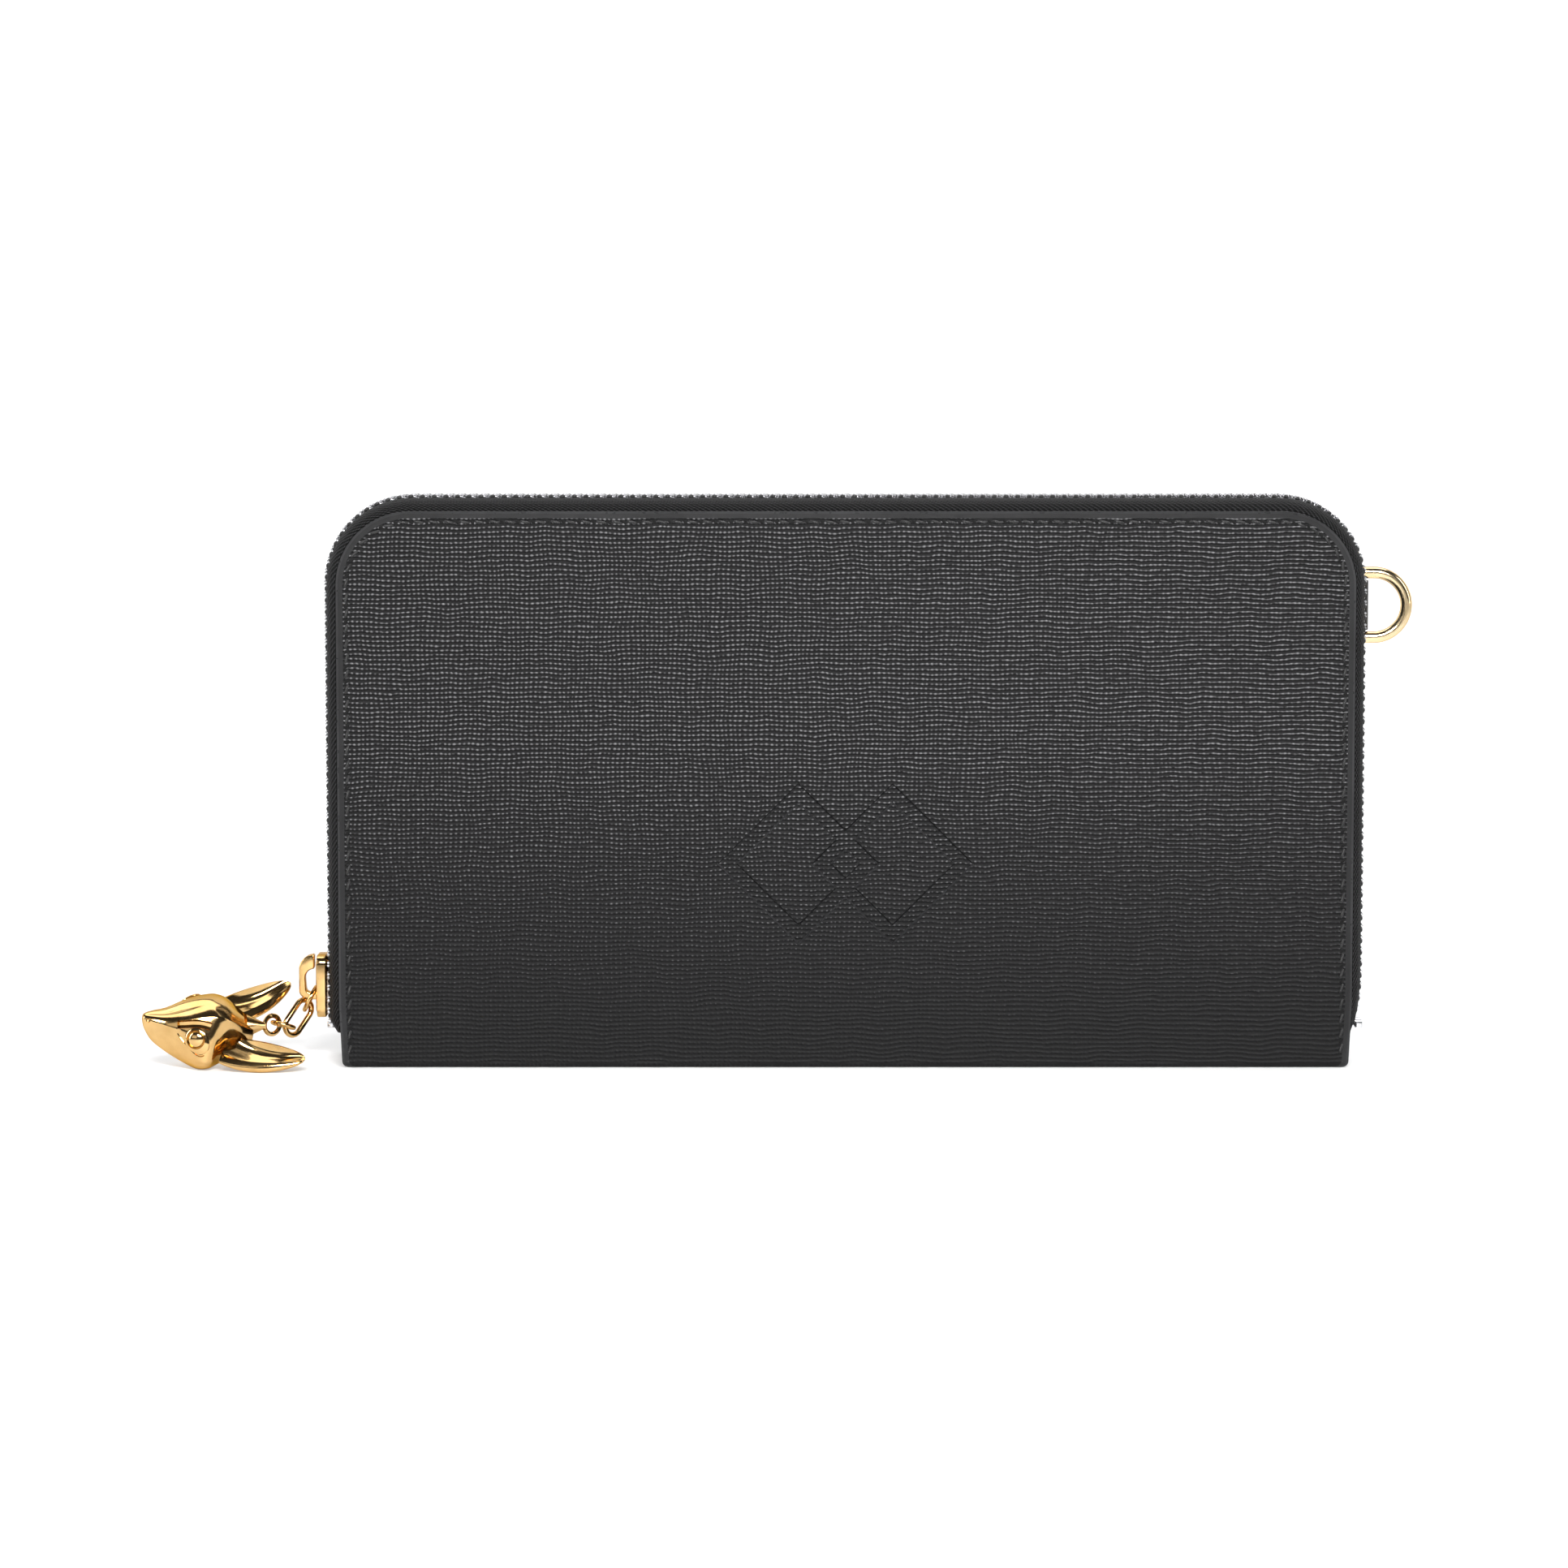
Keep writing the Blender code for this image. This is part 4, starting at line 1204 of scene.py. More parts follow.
        first = shaped_sphere("bead", 8, 6, place)
        start = self.quarters // 2 if self.side is Side.FRONT else self.quarters
        obj = self.row("binding", first, self.bead_out, self.bead_depth, start)
        face_outward(obj)
        smooth(obj, 180)
        hand_over(obj, self.side.body, THREAD)

    def stops(self) -> None:
        """The two crimped stops, each with its rounded shoulders and the groove of its crimp."""
        for end in End:
            node = f"{self.side.word}_{end.word}_stop"
            low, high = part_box(node)
            obj = block(f"{node}_crimp", low, high)
            with editing(obj):
                pick(obj, lambda f: abs(f.normal.x) > 0.9)
                bpy.ops.mesh.inset(thickness=0.3 * MM, depth=-0.15 * MM, use_individual=True)
            round_edges(obj, 0.16 * MM, 2)
            smooth(obj)
            hand_over(obj, self.side.body, ZIP_METAL, (node,))

    def build(self) -> None:
        """Builds the tape, teeth, bindings and stops."""
        self.tape()
        self.teeth()
        self.beads()
        self.stops()


@dataclass
class Slider:
    """The slider: two wings joined by a post, and the open hook on the outer one."""

    corner: float = 1.8 * MM
    outer_thick: float = 1.6 * MM
    inner_thick: float = 1.0 * MM
    inner_margin: float = 0.8 * MM
    post_half: float = 0.2 * MM
    proud: float = 0.15 * MM

    def build_body(self) -> None:
        """The two wings and the post between the rows of teeth."""
        low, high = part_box("slider_body")
        outer = block(
            "slider_wings",
            (low.x - self.proud, low.y, low.z),
            (low.x + self.outer_thick, high.y, high.z),
        )
        inner = block(
            "inner_wing",
            (high.x - self.inner_thick, low.y + self.inner_margin, low.z),
            (high.x, high.y - self.inner_margin, high.z),
        )
        for piece in (outer, inner):
            with editing(piece, "EDGE"):
                pick(piece, lambda e: abs(e.verts[0].co.x - e.verts[1].co.x) > 0.5 * MM, "edges")
                bpy.ops.mesh.bevel(offset=self.corner, segments=6, affect="EDGES")
        with editing(outer):
            pick(outer, lambda f: f.normal.x < -0.9)
            bpy.ops.mesh.inset(thickness=0.9 * MM)
            bpy.ops.mesh.inset(thickness=0.25 * MM, depth=0.22 * MM)
        post = block(
            "slider_post",
            (low.x + 1.2 * MM, -self.post_half, high.z - 3.5 * MM),
            (high.x - 0.5 * MM, self.post_half, high.z - 0.6 * MM),
        )
        cut(outer, post, "UNION")
        cut(outer, inner, "UNION")
        round_edges(outer, 0.3 * MM, 4)
        smooth(outer, 50)
        hand_over(outer, "zip_slider", GOLD, ("slider_body",))

    def build_hook(self) -> None:
        """The thick open hook that carries the chain."""
        low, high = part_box("slider_bridge")
        plate = high.x + 0.3 * MM
        outer = [
            (plate + 0.15 * MM, low.z - 0.1 * MM),
            (plate - 1.4 * MM, low.z - 0.1 * MM),
            *arc((plate - 2.2 * MM, low.z + 1.7 * MM), 1.65 * MM, 250, 190, 5),
            *arc((plate - 0.85 * MM, high.z - 2.35 * MM), 3.0 * MM, 172, 96, 9),
            (plate - 0.8 * MM, high.z + 0.66 * MM),
        ]
        inner = [
            (plate - 0.8 * MM, high.z - 2.1 * MM),
            *arc((plate - 0.85 * MM, high.z - 3.9 * MM), 1.75 * MM, 100, 178, 7),
            *arc((plate - 1.6 * MM, low.z + 2.15 * MM), 0.85 * MM, 188, 262, 5),
            (plate + 0.15 * MM, low.z + 1.3 * MM),
        ]
        obj = prism("slider_hook", [*outer, *inner], low.y - self.proud, high.y + self.proud)
        round_edges(obj, 0.52 * MM, 5, 35)
        smooth(obj, 60)
        hand_over(obj, "zip_slider", GOLD, ("slider_bridge",))

    def build(self) -> None:
        """Builds the slider's pieces."""
        self.build_body()
        self.build_hook()


@dataclass
class Chain:
    """The three chain pieces between the hook and the charm, laid where their joints are."""

    ring_1_radius: float = 2.45 * MM
    ring_1_drop: float = 0.75 * MM
    ring_3_radius: float = 2.1 * MM
    ring_3_slope: float = 19.0
    ring_wire: float = 0.45 * MM
    link_wire: float = 0.55 * MM
    link_length: float = 7.6 * MM
    link_width: float = 3.7 * MM
    slit: float = 4.0
    steps: int = 56

    @staticmethod
    def pivot(name: str) -> Vector:
        """A joint's place."""
        return Vector(next(j for j in frame["joints"] if j["name"] == name)["pos_m"])

    @classmethod
    def run(cls) -> Vector:
        """The level direction in which the chain runs from the link's pivot to the charm's."""
        run = (cls.pivot("charm_swing") - cls.pivot("pull_link_2_swing")) * (X_WAY + Y_WAY)
        return run.normalized()

    def ring(self, node: str, centre: Vector, way: Vector, radius: float) -> None:
        """A round ring of wire with the fine slit where it was closed.

        Args:
            node: The CAD node that it stands for.
            centre: Its middle.
            way: A direction in its plane. The plane's other direction is Y, or across the run if way leans to Y.
            radius: From its middle to the wire's.
        """
        side = Y_WAY if abs(way.y) < TINY else self.run().cross(Z_WAY)
        step = (360 - self.slit) / self.steps
        turns = (math.radians(90 + self.slit / 2 + step * k) for k in range(self.steps + 1))
        points = [centre + (way * math.cos(t) + side * math.sin(t)) * radius for t in turns]
        obj = tube(f"{node}_wire", points, self.ring_wire)
        smooth(obj, 50)
        hand_over(obj, node, GOLD, (node,))

    def build(self) -> None:
        """Builds the ring on the hook, the oval link and the ring on the charm."""
        foot, apex = self.pivot("pull_ring_1_swing"), self.pivot("pull_link_2_swing")
        hang = (apex - foot).normalized()
        self.ring("pull_ring_1", foot + hang * self.ring_1_drop, hang, self.ring_1_radius)
        way = (self.pivot("pull_ring_3_swing") - apex).normalized()
        across = way.cross(self.run().cross(Z_WAY))
        bend = self.link_width / 2
        points = []
        for near, start in ((bend, 90), (self.link_length - bend, -90)):
            for along, sideways in arc((near, 0), bend, start, start + 180, 20):
                points.append(apex + way * along + across * sideways)
        link = tube("pull_link_2_wire", points, self.link_wire, closed=True)
        smooth(link, 50)
        hand_over(link, "pull_link_2", GOLD, ("pull_link_2",))
        low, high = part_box("pull_ring_3")
        slope = math.radians(self.ring_3_slope)
        ring_way = self.run() * math.cos(slope) + Z_WAY * math.sin(slope)
        self.ring("pull_ring_3", (Vector(low) + Vector(high)) / 2, ring_way, self.ring_3_radius)


@dataclass
class DRing:
    """The D-ring for a wrist strap, and the leather tab that holds it."""

    wire: float = 1.15 * MM
    arm_gap: float = 12.6 * MM
    run: float = 3.35 * MM
    corner: float = 1.4 * MM
    tab_leather: float = 0.8 * MM
    tab_gap: float = 0.3 * MM
    tab_levels: int = 6

    def build_ring(self) -> None:
        """The ring: two short arms with rounded corners, and half a circle."""
        low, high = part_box("d_ring")
        x, y, z = low[0] + self.wire, (low[1] + high[1]) / 2, (low[2] + high[2]) / 2
        half, corner = self.arm_gap / 2, self.corner
        outline = [
            *arc((x + corner, z - half + corner), corner, 180, 270, 8),
            *arc((x + self.run, z), half, -90, 90, 40),
            *arc((x + corner, z + half - corner), corner, 90, 180, 8),
        ]
        points = [Vector((px, y, pz)) for px, pz in outline]
        ring = tube("d_ring_wire", points, self.wire, closed=True, sides=6)
        smooth(ring, 50)
        hand_over(ring, "d_ring", PALE_GOLD, ("d_ring",))

    def build_tab(self) -> None:
        """The tab: one strip of leather folded round the ring's straight side."""
        ring_low, ring_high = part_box("d_ring")
        x, y = ring_low[0] + self.wire, (ring_low[1] + ring_high[1]) / 2
        low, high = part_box("d_ring_tab")
        bend = self.wire + self.tab_gap + self.tab_leather / 2
        section = [(low[0] + reach * MM, y - 0.05 * MM) for reach in (0.0, 2.2, 4.2)]
        section += arc((x, y), bend, 215, 505, 28)
        levels = [mix(low[2], high[2], k / self.tab_levels) for k in range(self.tab_levels + 1)]
        rows = [[Vector((px, py, z)) for px, py in section] for z in levels]
        tab = grid_sheet("strap_tab", rows, self.tab_leather)
        round_edges(tab, 0.15 * MM, 2, 60)
        smooth(tab, 40)
        hand_over(tab, "back_half", CALF, ("d_ring_tab",))

    def build(self) -> None:
        """Builds the ring and its tab."""
        self.build_ring()
        self.build_tab()


@dataclass
class Charm:
    """The charm: a faceted animal's head with swept-back ears, on a loop."""

    nose_way: Vector = field(default_factory=lambda: Vector((-0.95, -0.25, 0.05)).normalized())
    across_way: Vector = field(default_factory=lambda: Vector((-0.2, 0.84, 0.5)))
    reach: float = 11.9 * MM
    shift: Vector = field(default_factory=lambda: Vector((-0.3 * MM, -1.9 * MM, 1.42 * MM)))
    loop_radius: float = 1.8 * MM
    loop_wire: float = 0.47 * MM
    loop_steps: int = 36
    nose_tip: Vector = field(default_factory=lambda: Vector((12.72, 0, -0.35)) * MM)
    neck_end: Vector = field(default_factory=lambda: Vector((-9.3, 0, -3.0)) * MM)
    stem_root: Vector = field(default_factory=lambda: Vector((-7.6, 0.2, -1.9)) * MM)
    ear_root: Vector = field(default_factory=lambda: Vector((-2.6, 5.4, -3.6)) * MM)
    ear_tip: Vector = field(default_factory=lambda: Vector((-17.5, 12.1, -0.3)) * MM)
    ear_half: float = 4.3 * MM
    ear_thick: float = 1.7 * MM
    ear_hollow: float = 2.4 * MM
    ear_bow: float = 0.7 * MM
    # The head's sections from nose to neck, in mm in its own axes: place along the nose's way, the ridge's
    # height, half width and height of the brow, cheek and jaw edges, and the underside's height
    sections: Sequence[Sequence[float]] = (
        (12.6, 0.3, 0.5, 0.2, 0.6, -0.3, 0.4, -0.9, -1.0),
        (12.1, 0.7, 0.8, 0.5, 1.1, -0.4, 0.8, -2.3, -2.5),
        (10.6, 0.8, 1.3, 0.7, 1.8, -0.7, 1.5, -4.5, -4.8),
        (8.0, 1.0, 2.0, 0.9, 3.1, -1.4, 2.7, -6.1, -6.5),
        (5.0, 2.0, 2.9, 1.9, 5.6, -2.6, 4.6, -7.0, -7.3),
        (2.2, 3.0, 3.4, 2.7, 8.3, -4.0, 6.5, -7.3, -7.5),
        (0.0, 3.7, 3.6, 3.1, 8.5, -4.0, 6.7, -7.1, -7.3),
        (-1.6, 3.7, 3.8, 3.0, 6.8, -3.2, 6.0, -6.7, -7.0),
        (-3.6, 3.0, 3.6, 2.3, 5.0, -2.2, 5.0, -6.1, -6.5),
        (-6.4, 0.8, 2.8, 0.2, 3.8, -2.2, 3.6, -5.2, -5.6),
        (-9.0, -1.4, 1.5, -1.7, 2.1, -3.0, 1.8, -4.4, -4.6),
    )
    swells: Sequence[float] = (0.2, 0.55, 0.4, 0.3)

    def frame(self) -> Matrix:
        """The head's own axes and middle: nose, across from the near cheek to the far one, and up."""
        loop = Chain.pivot("charm_swing")
        up_way = self.across_way.cross(self.nose_way).normalized()
        across = self.nose_way.cross(up_way)
        centre = loop + self.nose_way * self.reach + self.shift
        return Matrix.Translation(centre) @ Matrix((self.nose_way, across, up_way)).transposed().to_4x4()

    def surface(self, share: float, turn: float) -> Vector:
        """A point of the head in its own axes: share from the nose, turn from the ridge round a side."""
        values = [curve_through(column, share) for column in zip(*self.sections)]
        flanks = (values[k : k + 2] for k in (2, 4, 6))
        corners = ((0.0, values[1]), *flanks, (0.0, values[8]))
        spot = abs(math.atan2(math.sin(turn), math.cos(turn))) / math.pi * 4
        k = min(int(spot), 3)
        part = spot - k
        out, up = (mix(a, b, part) for a, b in zip(corners[k], corners[k + 1]))
        run = (corners[k + 1][0] - corners[k][0], corners[k + 1][1] - corners[k][1])
        swell = self.swells[k] * math.sin(math.pi * part) * math.sin(math.pi * share)
        swell /= max(math.hypot(*run), 0.1)
        out, up = out - run[1] * swell, up + run[0] * swell
        return Vector((values[0], math.copysign(out, math.sin(turn)), up)) * MM

    def head(self) -> bpy.types.Object:
        """The head itself, with a crisp ridge, brow edges, cheek edges and jaw edges."""

        def place(share: float, turn: float) -> Vector:
            """The head's point for a place on the sphere."""
            if share < 1e-4:
                return self.nose_tip
            if share > 1 - 1e-4:
                return self.neck_end
            return self.surface(share, turn)

        obj = shaped_sphere("charm_head_body", 64, 60, place)
        round_edges(obj, 0.16 * MM, 2, 20)
        return obj

    def ear(self, side: int) -> bpy.types.Object:
        """A leaf-shaped ear, hollowed to a slit on its face.

        Args:
            side: -1 for the near ear and 1 for the far one.

        Returns:
            The closed piece.
        """
        mirror = X_WAY + Y_WAY * side + Z_WAY
        root, tip = self.ear_root * mirror, self.ear_tip * mirror
        way = (tip - root).normalized()
        face = Vector((0.1, 0.05, 1.0)) * mirror
        face = (face - way * face.dot(way)).normalized()
        wide = way.cross(face)
        length = (tip - root).length

        def place(share: float, turn: float) -> Vector:
            """The ear's point for a place on the sphere."""
            half = self.ear_half * math.sin(math.pi * (0.2 + 0.8 * share)) ** 0.5 * (1.06 - 0.2 * share)
            thick = self.ear_thick * math.sin(math.pi * (0.12 + 0.88 * share)) ** 0.6
            across, up = math.cos(turn), math.sin(turn)
            middling = math.sin(math.pi * share)
            hollow = self.ear_hollow * middling * max(0.0, 1 - (across / 0.7) ** 4) * (up > 0)
            bow = self.ear_bow * middling
            return root + way * (length * share) + wide * half * across + face * (thick * up - hollow - bow)

        return shaped_sphere("ear", 56, 36, place)

    def on_panel(self, side: int, along: float, down: float) -> Vector:
        """A point of the cheek panel: along it from its middle towards the nose, and down it, in mm."""
        share, turn = 0.475 - along * 0.032, side * math.pi * (0.375 + down * 0.0235)
        return self.surface(share, turn)

    def wire_on_panel(
        self, name: str, side: int, points: Sequence[tuple[float, float]], radius: float
    ) -> bpy.types.Object:
        """Wire that follows the cheek panel, to press a hollow or a crease."""
        return tube(name, [self.on_panel(side, *point) for point in points], radius, sides=2)

    def button(
        self, name: str, side: int, place: tuple[float, float], size: tuple[float, float],
        rise: float, point: float = 0.0,
    ) -> bpy.types.Object:
        """A flattened ball on a cheek panel, round or drawn out to one corner.

        Args:
            name: The piece's name.
            side: -1 for the near panel and 1 for the far one.
            place: Its middle, as on_panel has it.
            size: Its radius in the panel and its half thickness, in mm.
            rise: How far its middle stands above the panel, in mm.
            point: How far its back corner is drawn out, as a share of the radius.

        Returns:
            The closed piece.
        """
        along, down = place
        centre = self.on_panel(side, along, down)
        first = (self.on_panel(side, along + 1, down) - centre).normalized()
        normal = first.cross(self.on_panel(side, along, down + 1) - centre).normalized()
        normal *= math.copysign(1, normal.y * side)
        second = normal.cross(first) * (1 if normal.cross(first).z < 0 else -1)

        def lay(share: float, turn: float) -> Vector:
            """The button's point for a place on the sphere."""
            stretch = 1 + point * max(0.0, math.cos(turn - math.radians(150))) ** 3
            ring = math.sin(math.pi * share) * size[0] * stretch
            flat = first * math.cos(turn) * ring + second * math.sin(turn) * ring
            return centre + (flat + normal * (math.cos(math.pi * share) * size[1] + rise)) * MM

        return shaped_sphere(name, 40, 16, lay)

    def features(self, obj: bpy.types.Object, side: int) -> None:
        """Presses the brow's hollow and the crease into a cheek panel, and raises the eye and its lid."""
        brow = [(3.7 - 7.4 * t, -3.0 - 0.8 * math.sin(math.pi * t)) for t in (k / 16 for k in range(17))]
        cut(obj, self.wire_on_panel("brow", side, brow, 0.8 * MM))
        crease = arc((0.1, 0.6), 3.5, 10, 125, 20)
        cut(obj, self.wire_on_panel("crease", side, crease, 0.24 * MM))
        eye = (0.0, 0.3)
        cut(obj, self.button("lid", side, eye, (2.3, 0.62), 0.0, 0.38), "UNION")
        cut(obj, self.button("eye_bed", side, eye, (1.85, 0.72), 0.5))
        cut(obj, self.button("eye", side, eye, (1.6, 0.7), 0.0), "UNION")
        nostril = self.surface(0.135, side * math.pi * 0.36)
        size = [0.4 * MM] * 3
        tool = shaped_sphere("nostril", 16, 10, lambda share, turn: ball_point(share, turn, *size).yzx)
        tool.location = nostril
        freeze(tool)
        cut(obj, tool)

    def loop(self) -> bpy.types.Object:
        """The loop that the last ring holds."""
        centre, flat = Chain.pivot("charm_swing"), Chain.run()
        turns = (2 * math.pi * k / self.loop_steps for k in range(self.loop_steps))
        points = [centre + (flat * math.cos(t) + Z_WAY * math.sin(t)) * self.loop_radius for t in turns]
        return tube("loop", points, self.loop_wire, closed=True, sides=3)

    def stem(self, to_world: Matrix) -> bpy.types.Object:
        """The tapered stem from the neck to the loop."""
        root = to_world @ self.stem_root
        run = Chain.pivot("charm_swing") + Chain.run() * self.loop_radius - root
        deselect()
        bpy.ops.mesh.primitive_cone_add(vertices=24, radius1=2.3 * MM, radius2=0.6 * MM, depth=run.length)
        obj = bpy.context.active_object
        turn = run.to_track_quat("Z", "Y").to_matrix().to_4x4()
        obj.matrix_world = Matrix.Translation(root + run / 2) @ turn
        freeze(obj)
        return obj

    def build(self) -> None:
        """Builds the charm as one casting."""
        to_world = self.frame()
        obj = self.head()
        for side in (-1, 1):
            cut(obj, self.ear(side), "UNION")
        for side in (-1, 1):
            self.features(obj, side)
        obj.data.transform(to_world)
        cut(obj, self.stem(to_world), "UNION")
        cut(obj, self.loop(), "UNION")
        weld(obj)
        smooth(obj, 28)
        obj.name = "charm_casting"
        hand_over(obj, "charm", GOLD, ("charm_head",))


@dataclass
class Inside:
    """The linings, boards, card strips, gussets and coin pocket."""

    seam: float = 0.7 * MM
    strip_corner: float = 3.0 * MM
    press_depth: float = 0.12 * MM
    coin_pitch: float = 1.6 * MM
    coin_tooth_half: float = 0.5 * MM
    coin_core: float = 0.3 * MM
    gusset_steps: int = 24
    gusset_levels: int = 12
    gusset_cloth: float = 0.35 * MM
    gusset_curve: float = 1.3
    gusset_width: float = 20 * MM
    gusset_bend: float = 6.8 * MM

    def dress(self, node: str, finish: Recipe) -> None:
        """Gives a CAD node that stays a better finish."""
        obj, material = frame["nodes"][node], made(finish)
        if not obj.material_slots:
            obj.data.materials.append(material)
        for slot in obj.material_slots:
            slot.material = material
        LOG.info("%s: dressed in %s", node, material.name)

    def card_strip(self, side: Side, k: int) -> None:
        """One row of card pockets: painted edges, a pressed line and the seam between its two columns."""
        node = f"{side.word}_card_strip_{k}"
        low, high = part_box(node)
        obj = block(f"{node}_leather", low, high)
        for finish in (CALF, EDGE_PAINT_AND_HIGHLIGHT):
            obj.data.materials.append(made(finish))

        def is_top_corner(edge: bmesh.types.BMEdge) -> bool:
            """Whether an edge runs through the strip's thickness at its top."""
            thickness = abs(edge.verts[0].co.y - edge.verts[1].co.y)
            return thickness > 0.1 * MM and middle(edge).z > high[2] - TINY

        def is_face(face: bmesh.types.BMFace, near: float, far: float) -> bool:
            """Whether a face is on the strip's open side, so far from its middle."""
            return face.normal.y * side.value < -0.9 and near < abs(face.calc_center_median().x) < far

        with editing(obj, "EDGE"):
            pick(obj, is_top_corner, "edges")
            bpy.ops.mesh.bevel(offset=self.strip_corner, segments=6, affect="EDGES")
        with editing(obj):
            for spot in (-self.seam, self.seam):
                slice_at(X_WAY * spot, X_WAY)
            pick(obj, lambda f: is_face(f, -1, self.seam))
            bpy.ops.mesh.inset(thickness=0.15 * MM, depth=-0.14 * MM)
            pick(obj, lambda f: is_face(f, 10 * MM, 1))
            bpy.ops.mesh.inset(thickness=1.0 * MM)
            for depth in (-self.press_depth, self.press_depth):
                bpy.ops.mesh.inset(thickness=0.2 * MM, depth=depth)
            paint(obj, lambda f: abs(f.normal.y) < 0.5, 1)
        round_edges(obj, 0.07 * MM, 2, 50)
        smooth(obj, 40)
        hand_over(obj, side.body, None, (node,))

    def coin_teeth(self, side: Side) -> None:
        """The coin pocket's row of moulded teeth on its cord, modelled once and copied."""
        node = f"coin_{side.word}_teeth"
        low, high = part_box(node)
        half = self.coin_tooth_half
        first = block("coin_tooth", (-half, low[1], low[2]), (half, high[1], high[2]))
        round_edges(first, 0.16 * MM, 1)
        count = int((high[0] - low[0]) / self.coin_pitch)
        start = low[0] + (0.4 if side is Side.FRONT else 0.8) * self.coin_pitch
        places = (Matrix.Translation(X_WAY * (start + k * self.coin_pitch)) for k in range(count))
        row = repeat("row", first, places)
        y, z = (low[1] + high[1]) / 2, low[2] + 0.35 * MM
        cord = tube("core", [Vector((x, y, z)) for x in (low[0], high[0])], self.coin_core, sides=1)
        obj = join(f"{node}_row", [row, cord])
        smooth(obj, 40)
        hand_over(obj, "coin_pocket", ZIP_METAL, (node,))

    def gusset(self, end: End) -> None:
        """One gusset, pleated from half to half."""
        node = f"{end.word}_gusset"
        low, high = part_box(node)
        near, far = sorted((abs(low[0]), abs(high[0])))
        inner, outer = near + 0.25 * MM, far - 0.25 * MM
        depth = high[1] - 0.2 * MM
        shares = [2 * k / self.gusset_steps - 1 for k in range(self.gusset_steps + 1)]
        rows = []
        for level in range(self.gusset_levels + 1):
            z = mix(low[2], high[2], level / self.gusset_levels)
            reach = (end.value * mix(inner, outer, abs(k) ** self.gusset_curve) for k in shares)
            rows.append([Vector((x, depth * k, z)) for x, k in zip(reach, shares)])
        obj = grid_sheet(f"{node}_cloth", rows, self.gusset_cloth)
        smooth(obj, 50)
        hand_over(obj, None, LINING, (node,))
        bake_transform(obj)

    def build(self) -> None:
        """Dresses the nodes that stay, and builds the card strips, coin teeth and gussets."""
        for side in Side:
            self.dress(f"{side.word}_board", BOARD)
            self.dress(f"{side.word}_lining", LINING)
            for k in (1, 2, 3):
                self.card_strip(side, k)
            self.dress(f"coin_{side.word}_tape", LINING)
            self.coin_teeth(side)
        self.dress("spine_board", BOARD)
        for node in ("spine_lining", "coin_pouch"):
            self.dress(node, LINING)
        for node in ("coin_slider_body", "coin_puller_tab"):
            self.dress(node, GOLD)
        for end in End:
            self.dress(f"coin_{end.word}_stop", ZIP_METAL)
            self.dress(f"coin_{end.word}_seam", CALF)
            self.gusset(end)


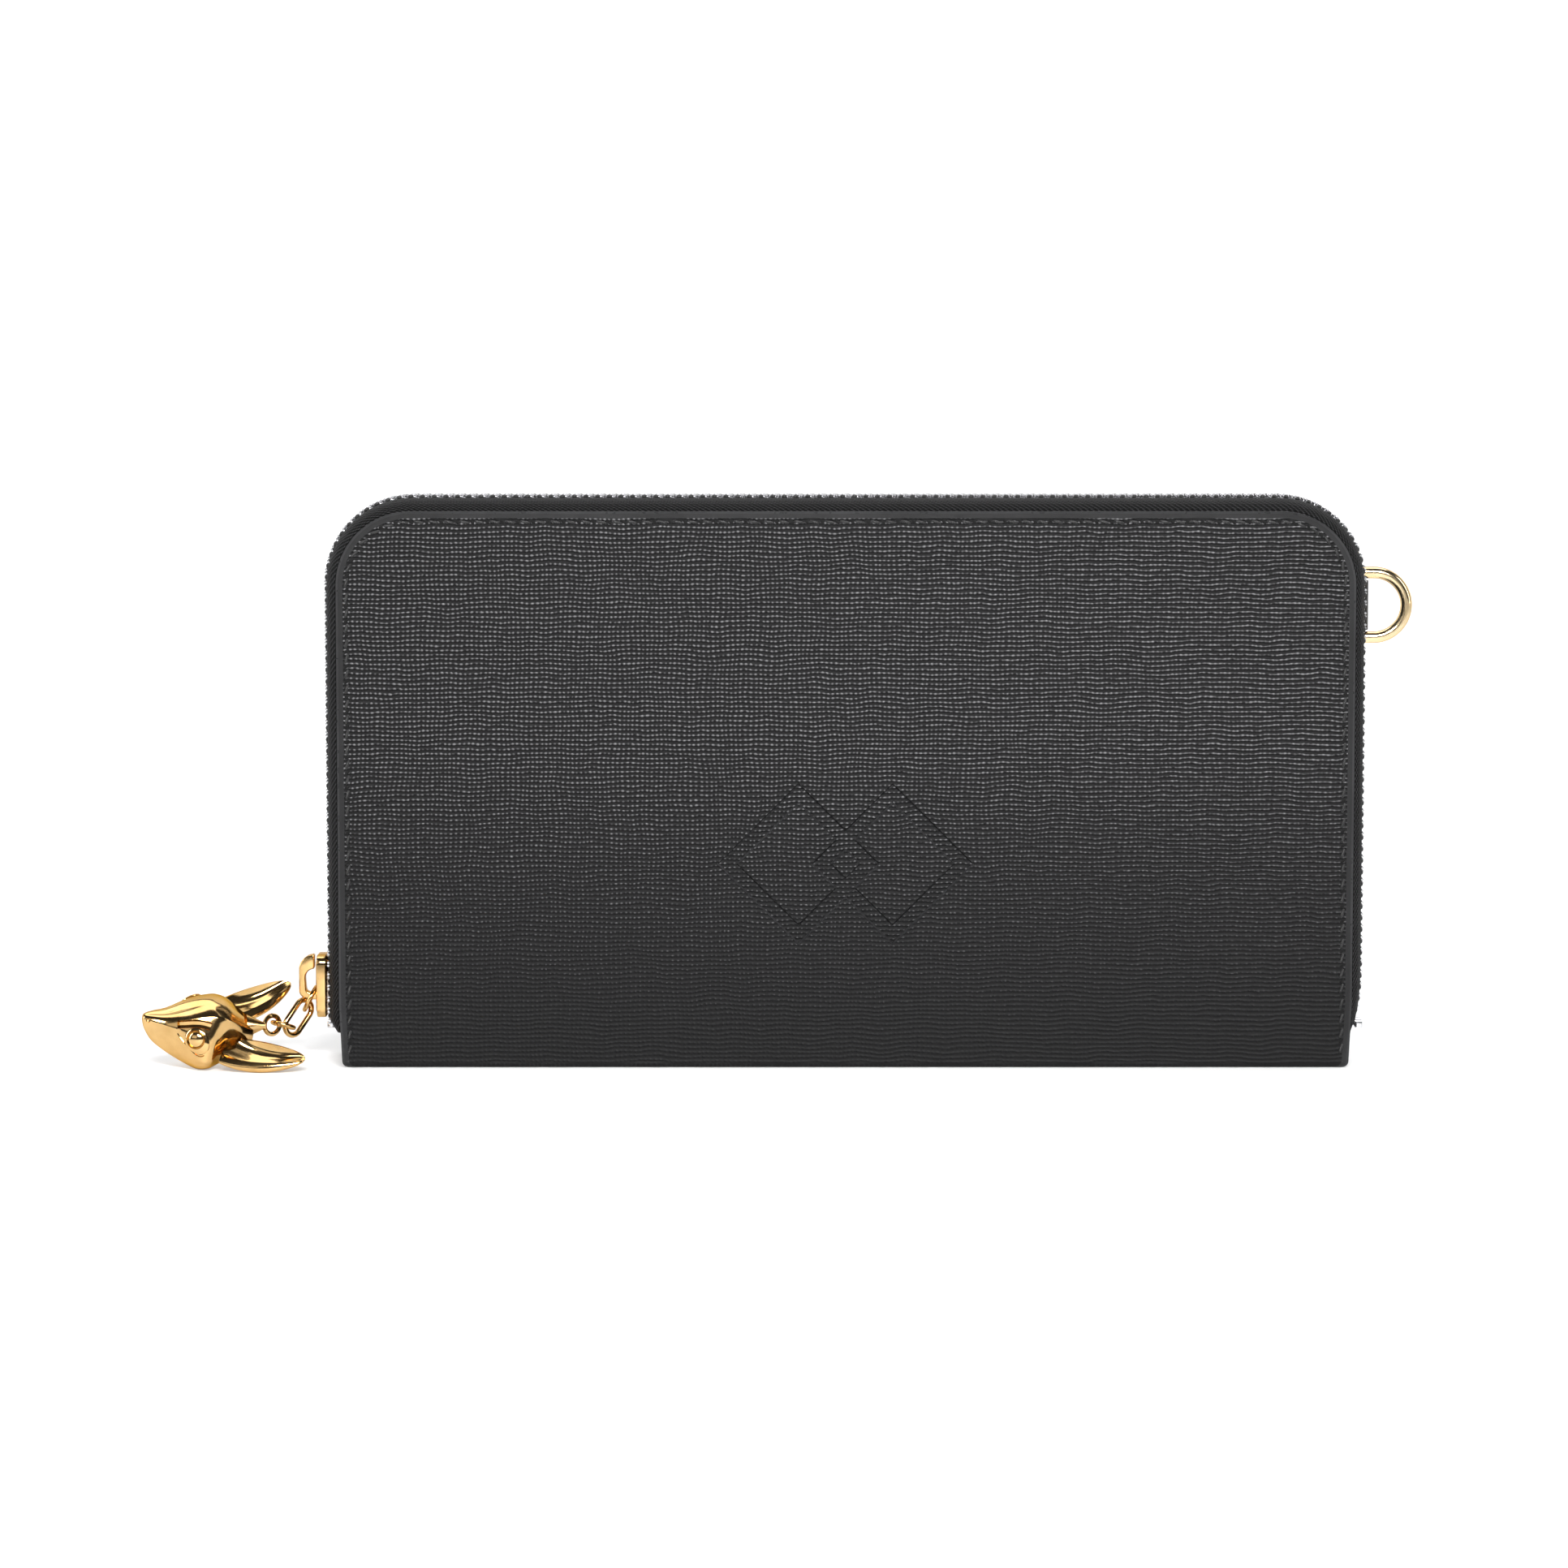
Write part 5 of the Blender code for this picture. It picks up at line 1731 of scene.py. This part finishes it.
@dataclass
class Studio:
    """The pale floor and backdrop, the soft lights and the camera."""

    aim: Vector = field(default_factory=lambda: Vector((-11.8 * MM, -11.0 * MM, 54.9 * MM)))
    elevation: float = 5.5
    distance: float = 0.95
    view_width: float = 300.0 * MM
    sensor: float = 36.0
    floor: tuple[float, float] = (24.0, 16.0)
    back: float = 1.8
    wall: float = 3.0
    cove: float = 0.7
    floor_glow: float = 0.24
    wall_glow: float = 0.95

    def ground(self) -> None:
        """A white sweep from floor to backdrop."""
        deselect()
        bpy.ops.mesh.primitive_plane_add(size=1, location=(0, self.back - self.floor[1] / 2, 0))
        obj = bpy.context.active_object
        obj.name = "sweep"
        obj.scale = (*self.floor, 1)
        freeze(obj)
        with editing(obj, "EDGE"):
            pick(obj, lambda e: middle(e).y > self.back - 10 * MM, "edges")
            bpy.ops.mesh.extrude_edges_move(TRANSFORM_OT_translate={"value": (0, 0, self.wall)})
            pick(obj, lambda e: abs(middle(e).y - self.back) < MM and abs(middle(e).z) < MM, "edges")
            bpy.ops.mesh.bevel(offset=self.cove, segments=16, affect="EDGES")
        smooth(obj, 60)
        g = Graph("studio_white")
        away = g.node("ShaderNodeVectorMath", {0: g.place}, operation="LENGTH").outputs["Value"]
        behind = g.ramp(g.split(g.place)[1], 0.1, 0.9, self.floor_glow, self.wall_glow)
        glow = g.math("MAXIMUM", behind, g.ramp(away, 1.4, 2.4, self.floor_glow, self.wall_glow))
        white = {"Base_Color": (0.6, 0.6, 0.6, 1), "Emission_Color": (1, 1, 1, 1)}
        g.set(**white, Roughness=0.6, Emission_Strength=glow)
        obj.data.materials.append(g.material)

    def softbox(
        self, name: str, place: Sequence[float], size: tuple[float, float], power: float,
        aim: Sequence[float] = (0, 0, 0.05), spread: float = 180.0,
    ) -> None:
        """A rectangular soft light.

        Args:
            name: The light's name.
            place: Where it stands.
            size: Its width and height.
            power: Its power in watts.
            aim: The point that it faces.
            spread: How widely its grid lets it shine, in degrees.
        """
        light = bpy.data.lights.new(name, "AREA")
        light.shape = "RECTANGLE"
        light.size, light.size_y = size
        light.energy = power
        light.spread = math.radians(spread)
        obj = bpy.data.objects.new(name, light)
        bpy.context.scene.collection.objects.link(obj)
        obj.location = place
        obj.rotation_euler = (Vector(aim) - Vector(place)).to_track_quat("-Z", "Y").to_euler()

    def lights(self) -> None:
        """The lights and the dim surroundings that the metal mirrors."""
        self.softbox("top_box", (0.0, 0.25, 1.1), (1.2, 0.5), 5)
        self.softbox("key_box", (0.05, -0.8, 0.52), (0.55, 0.14), 2.5, aim=(0, 0, 0.08), spread=60)
        self.softbox("fill_box", (-0.9, -1.2, 0.45), (0.9, 0.5), 1.2)
        self.softbox("left_box", (-0.9, -0.2, 0.35), (0.12, 0.6), 4)
        self.softbox("right_box", (0.9, -0.3, 0.4), (0.12, 0.7), 2)
        world = bpy.data.worlds.new("studio")
        bpy.context.scene.world = world
        world.use_nodes = True
        sky = world.node_tree.nodes["Background"].inputs
        sky["Color"].default_value = (0.9, 0.92, 1.0, 1)
        sky["Strength"].default_value = 0.04
        bpy.context.scene.view_settings.view_transform = "Standard"

    def camera(self) -> None:
        """The camera, a little above the wallet and square to its front."""
        data = bpy.data.cameras.new("camera")
        obj = bpy.data.objects.new("camera", data)
        bpy.context.scene.collection.objects.link(obj)
        tilt = math.radians(self.elevation)
        back = Vector((0, -math.cos(tilt), math.sin(tilt)))
        obj.location = self.aim + back * self.distance
        obj.rotation_euler = (-back).to_track_quat("-Z", "Y").to_euler()
        data.sensor_width = self.sensor
        data.lens = self.sensor * self.distance / self.view_width
        data.clip_start, data.clip_end = 0.01, 20
        bpy.context.scene.camera = obj

    def build(self) -> None:
        """Sets the studio up."""
        self.ground()
        self.lights()
        self.camera()


def main() -> None:
    """Builds the wallet piece by piece round the frame, and the studio."""
    logging.basicConfig(level=logging.INFO, format="%(message)s", stream=sys.stdout)
    low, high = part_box("front_cover")
    outline = Outline(high[0], high[2])
    Studio().build()
    LeatherSkin(outline, -low[1]).build()
    for side in Side:
        ZipSide(outline, side).build()
    for assembly in (Slider(), Chain(), DRing(), Charm(), Inside()):
        assembly.build()


if __name__ == "__main__":
    main()
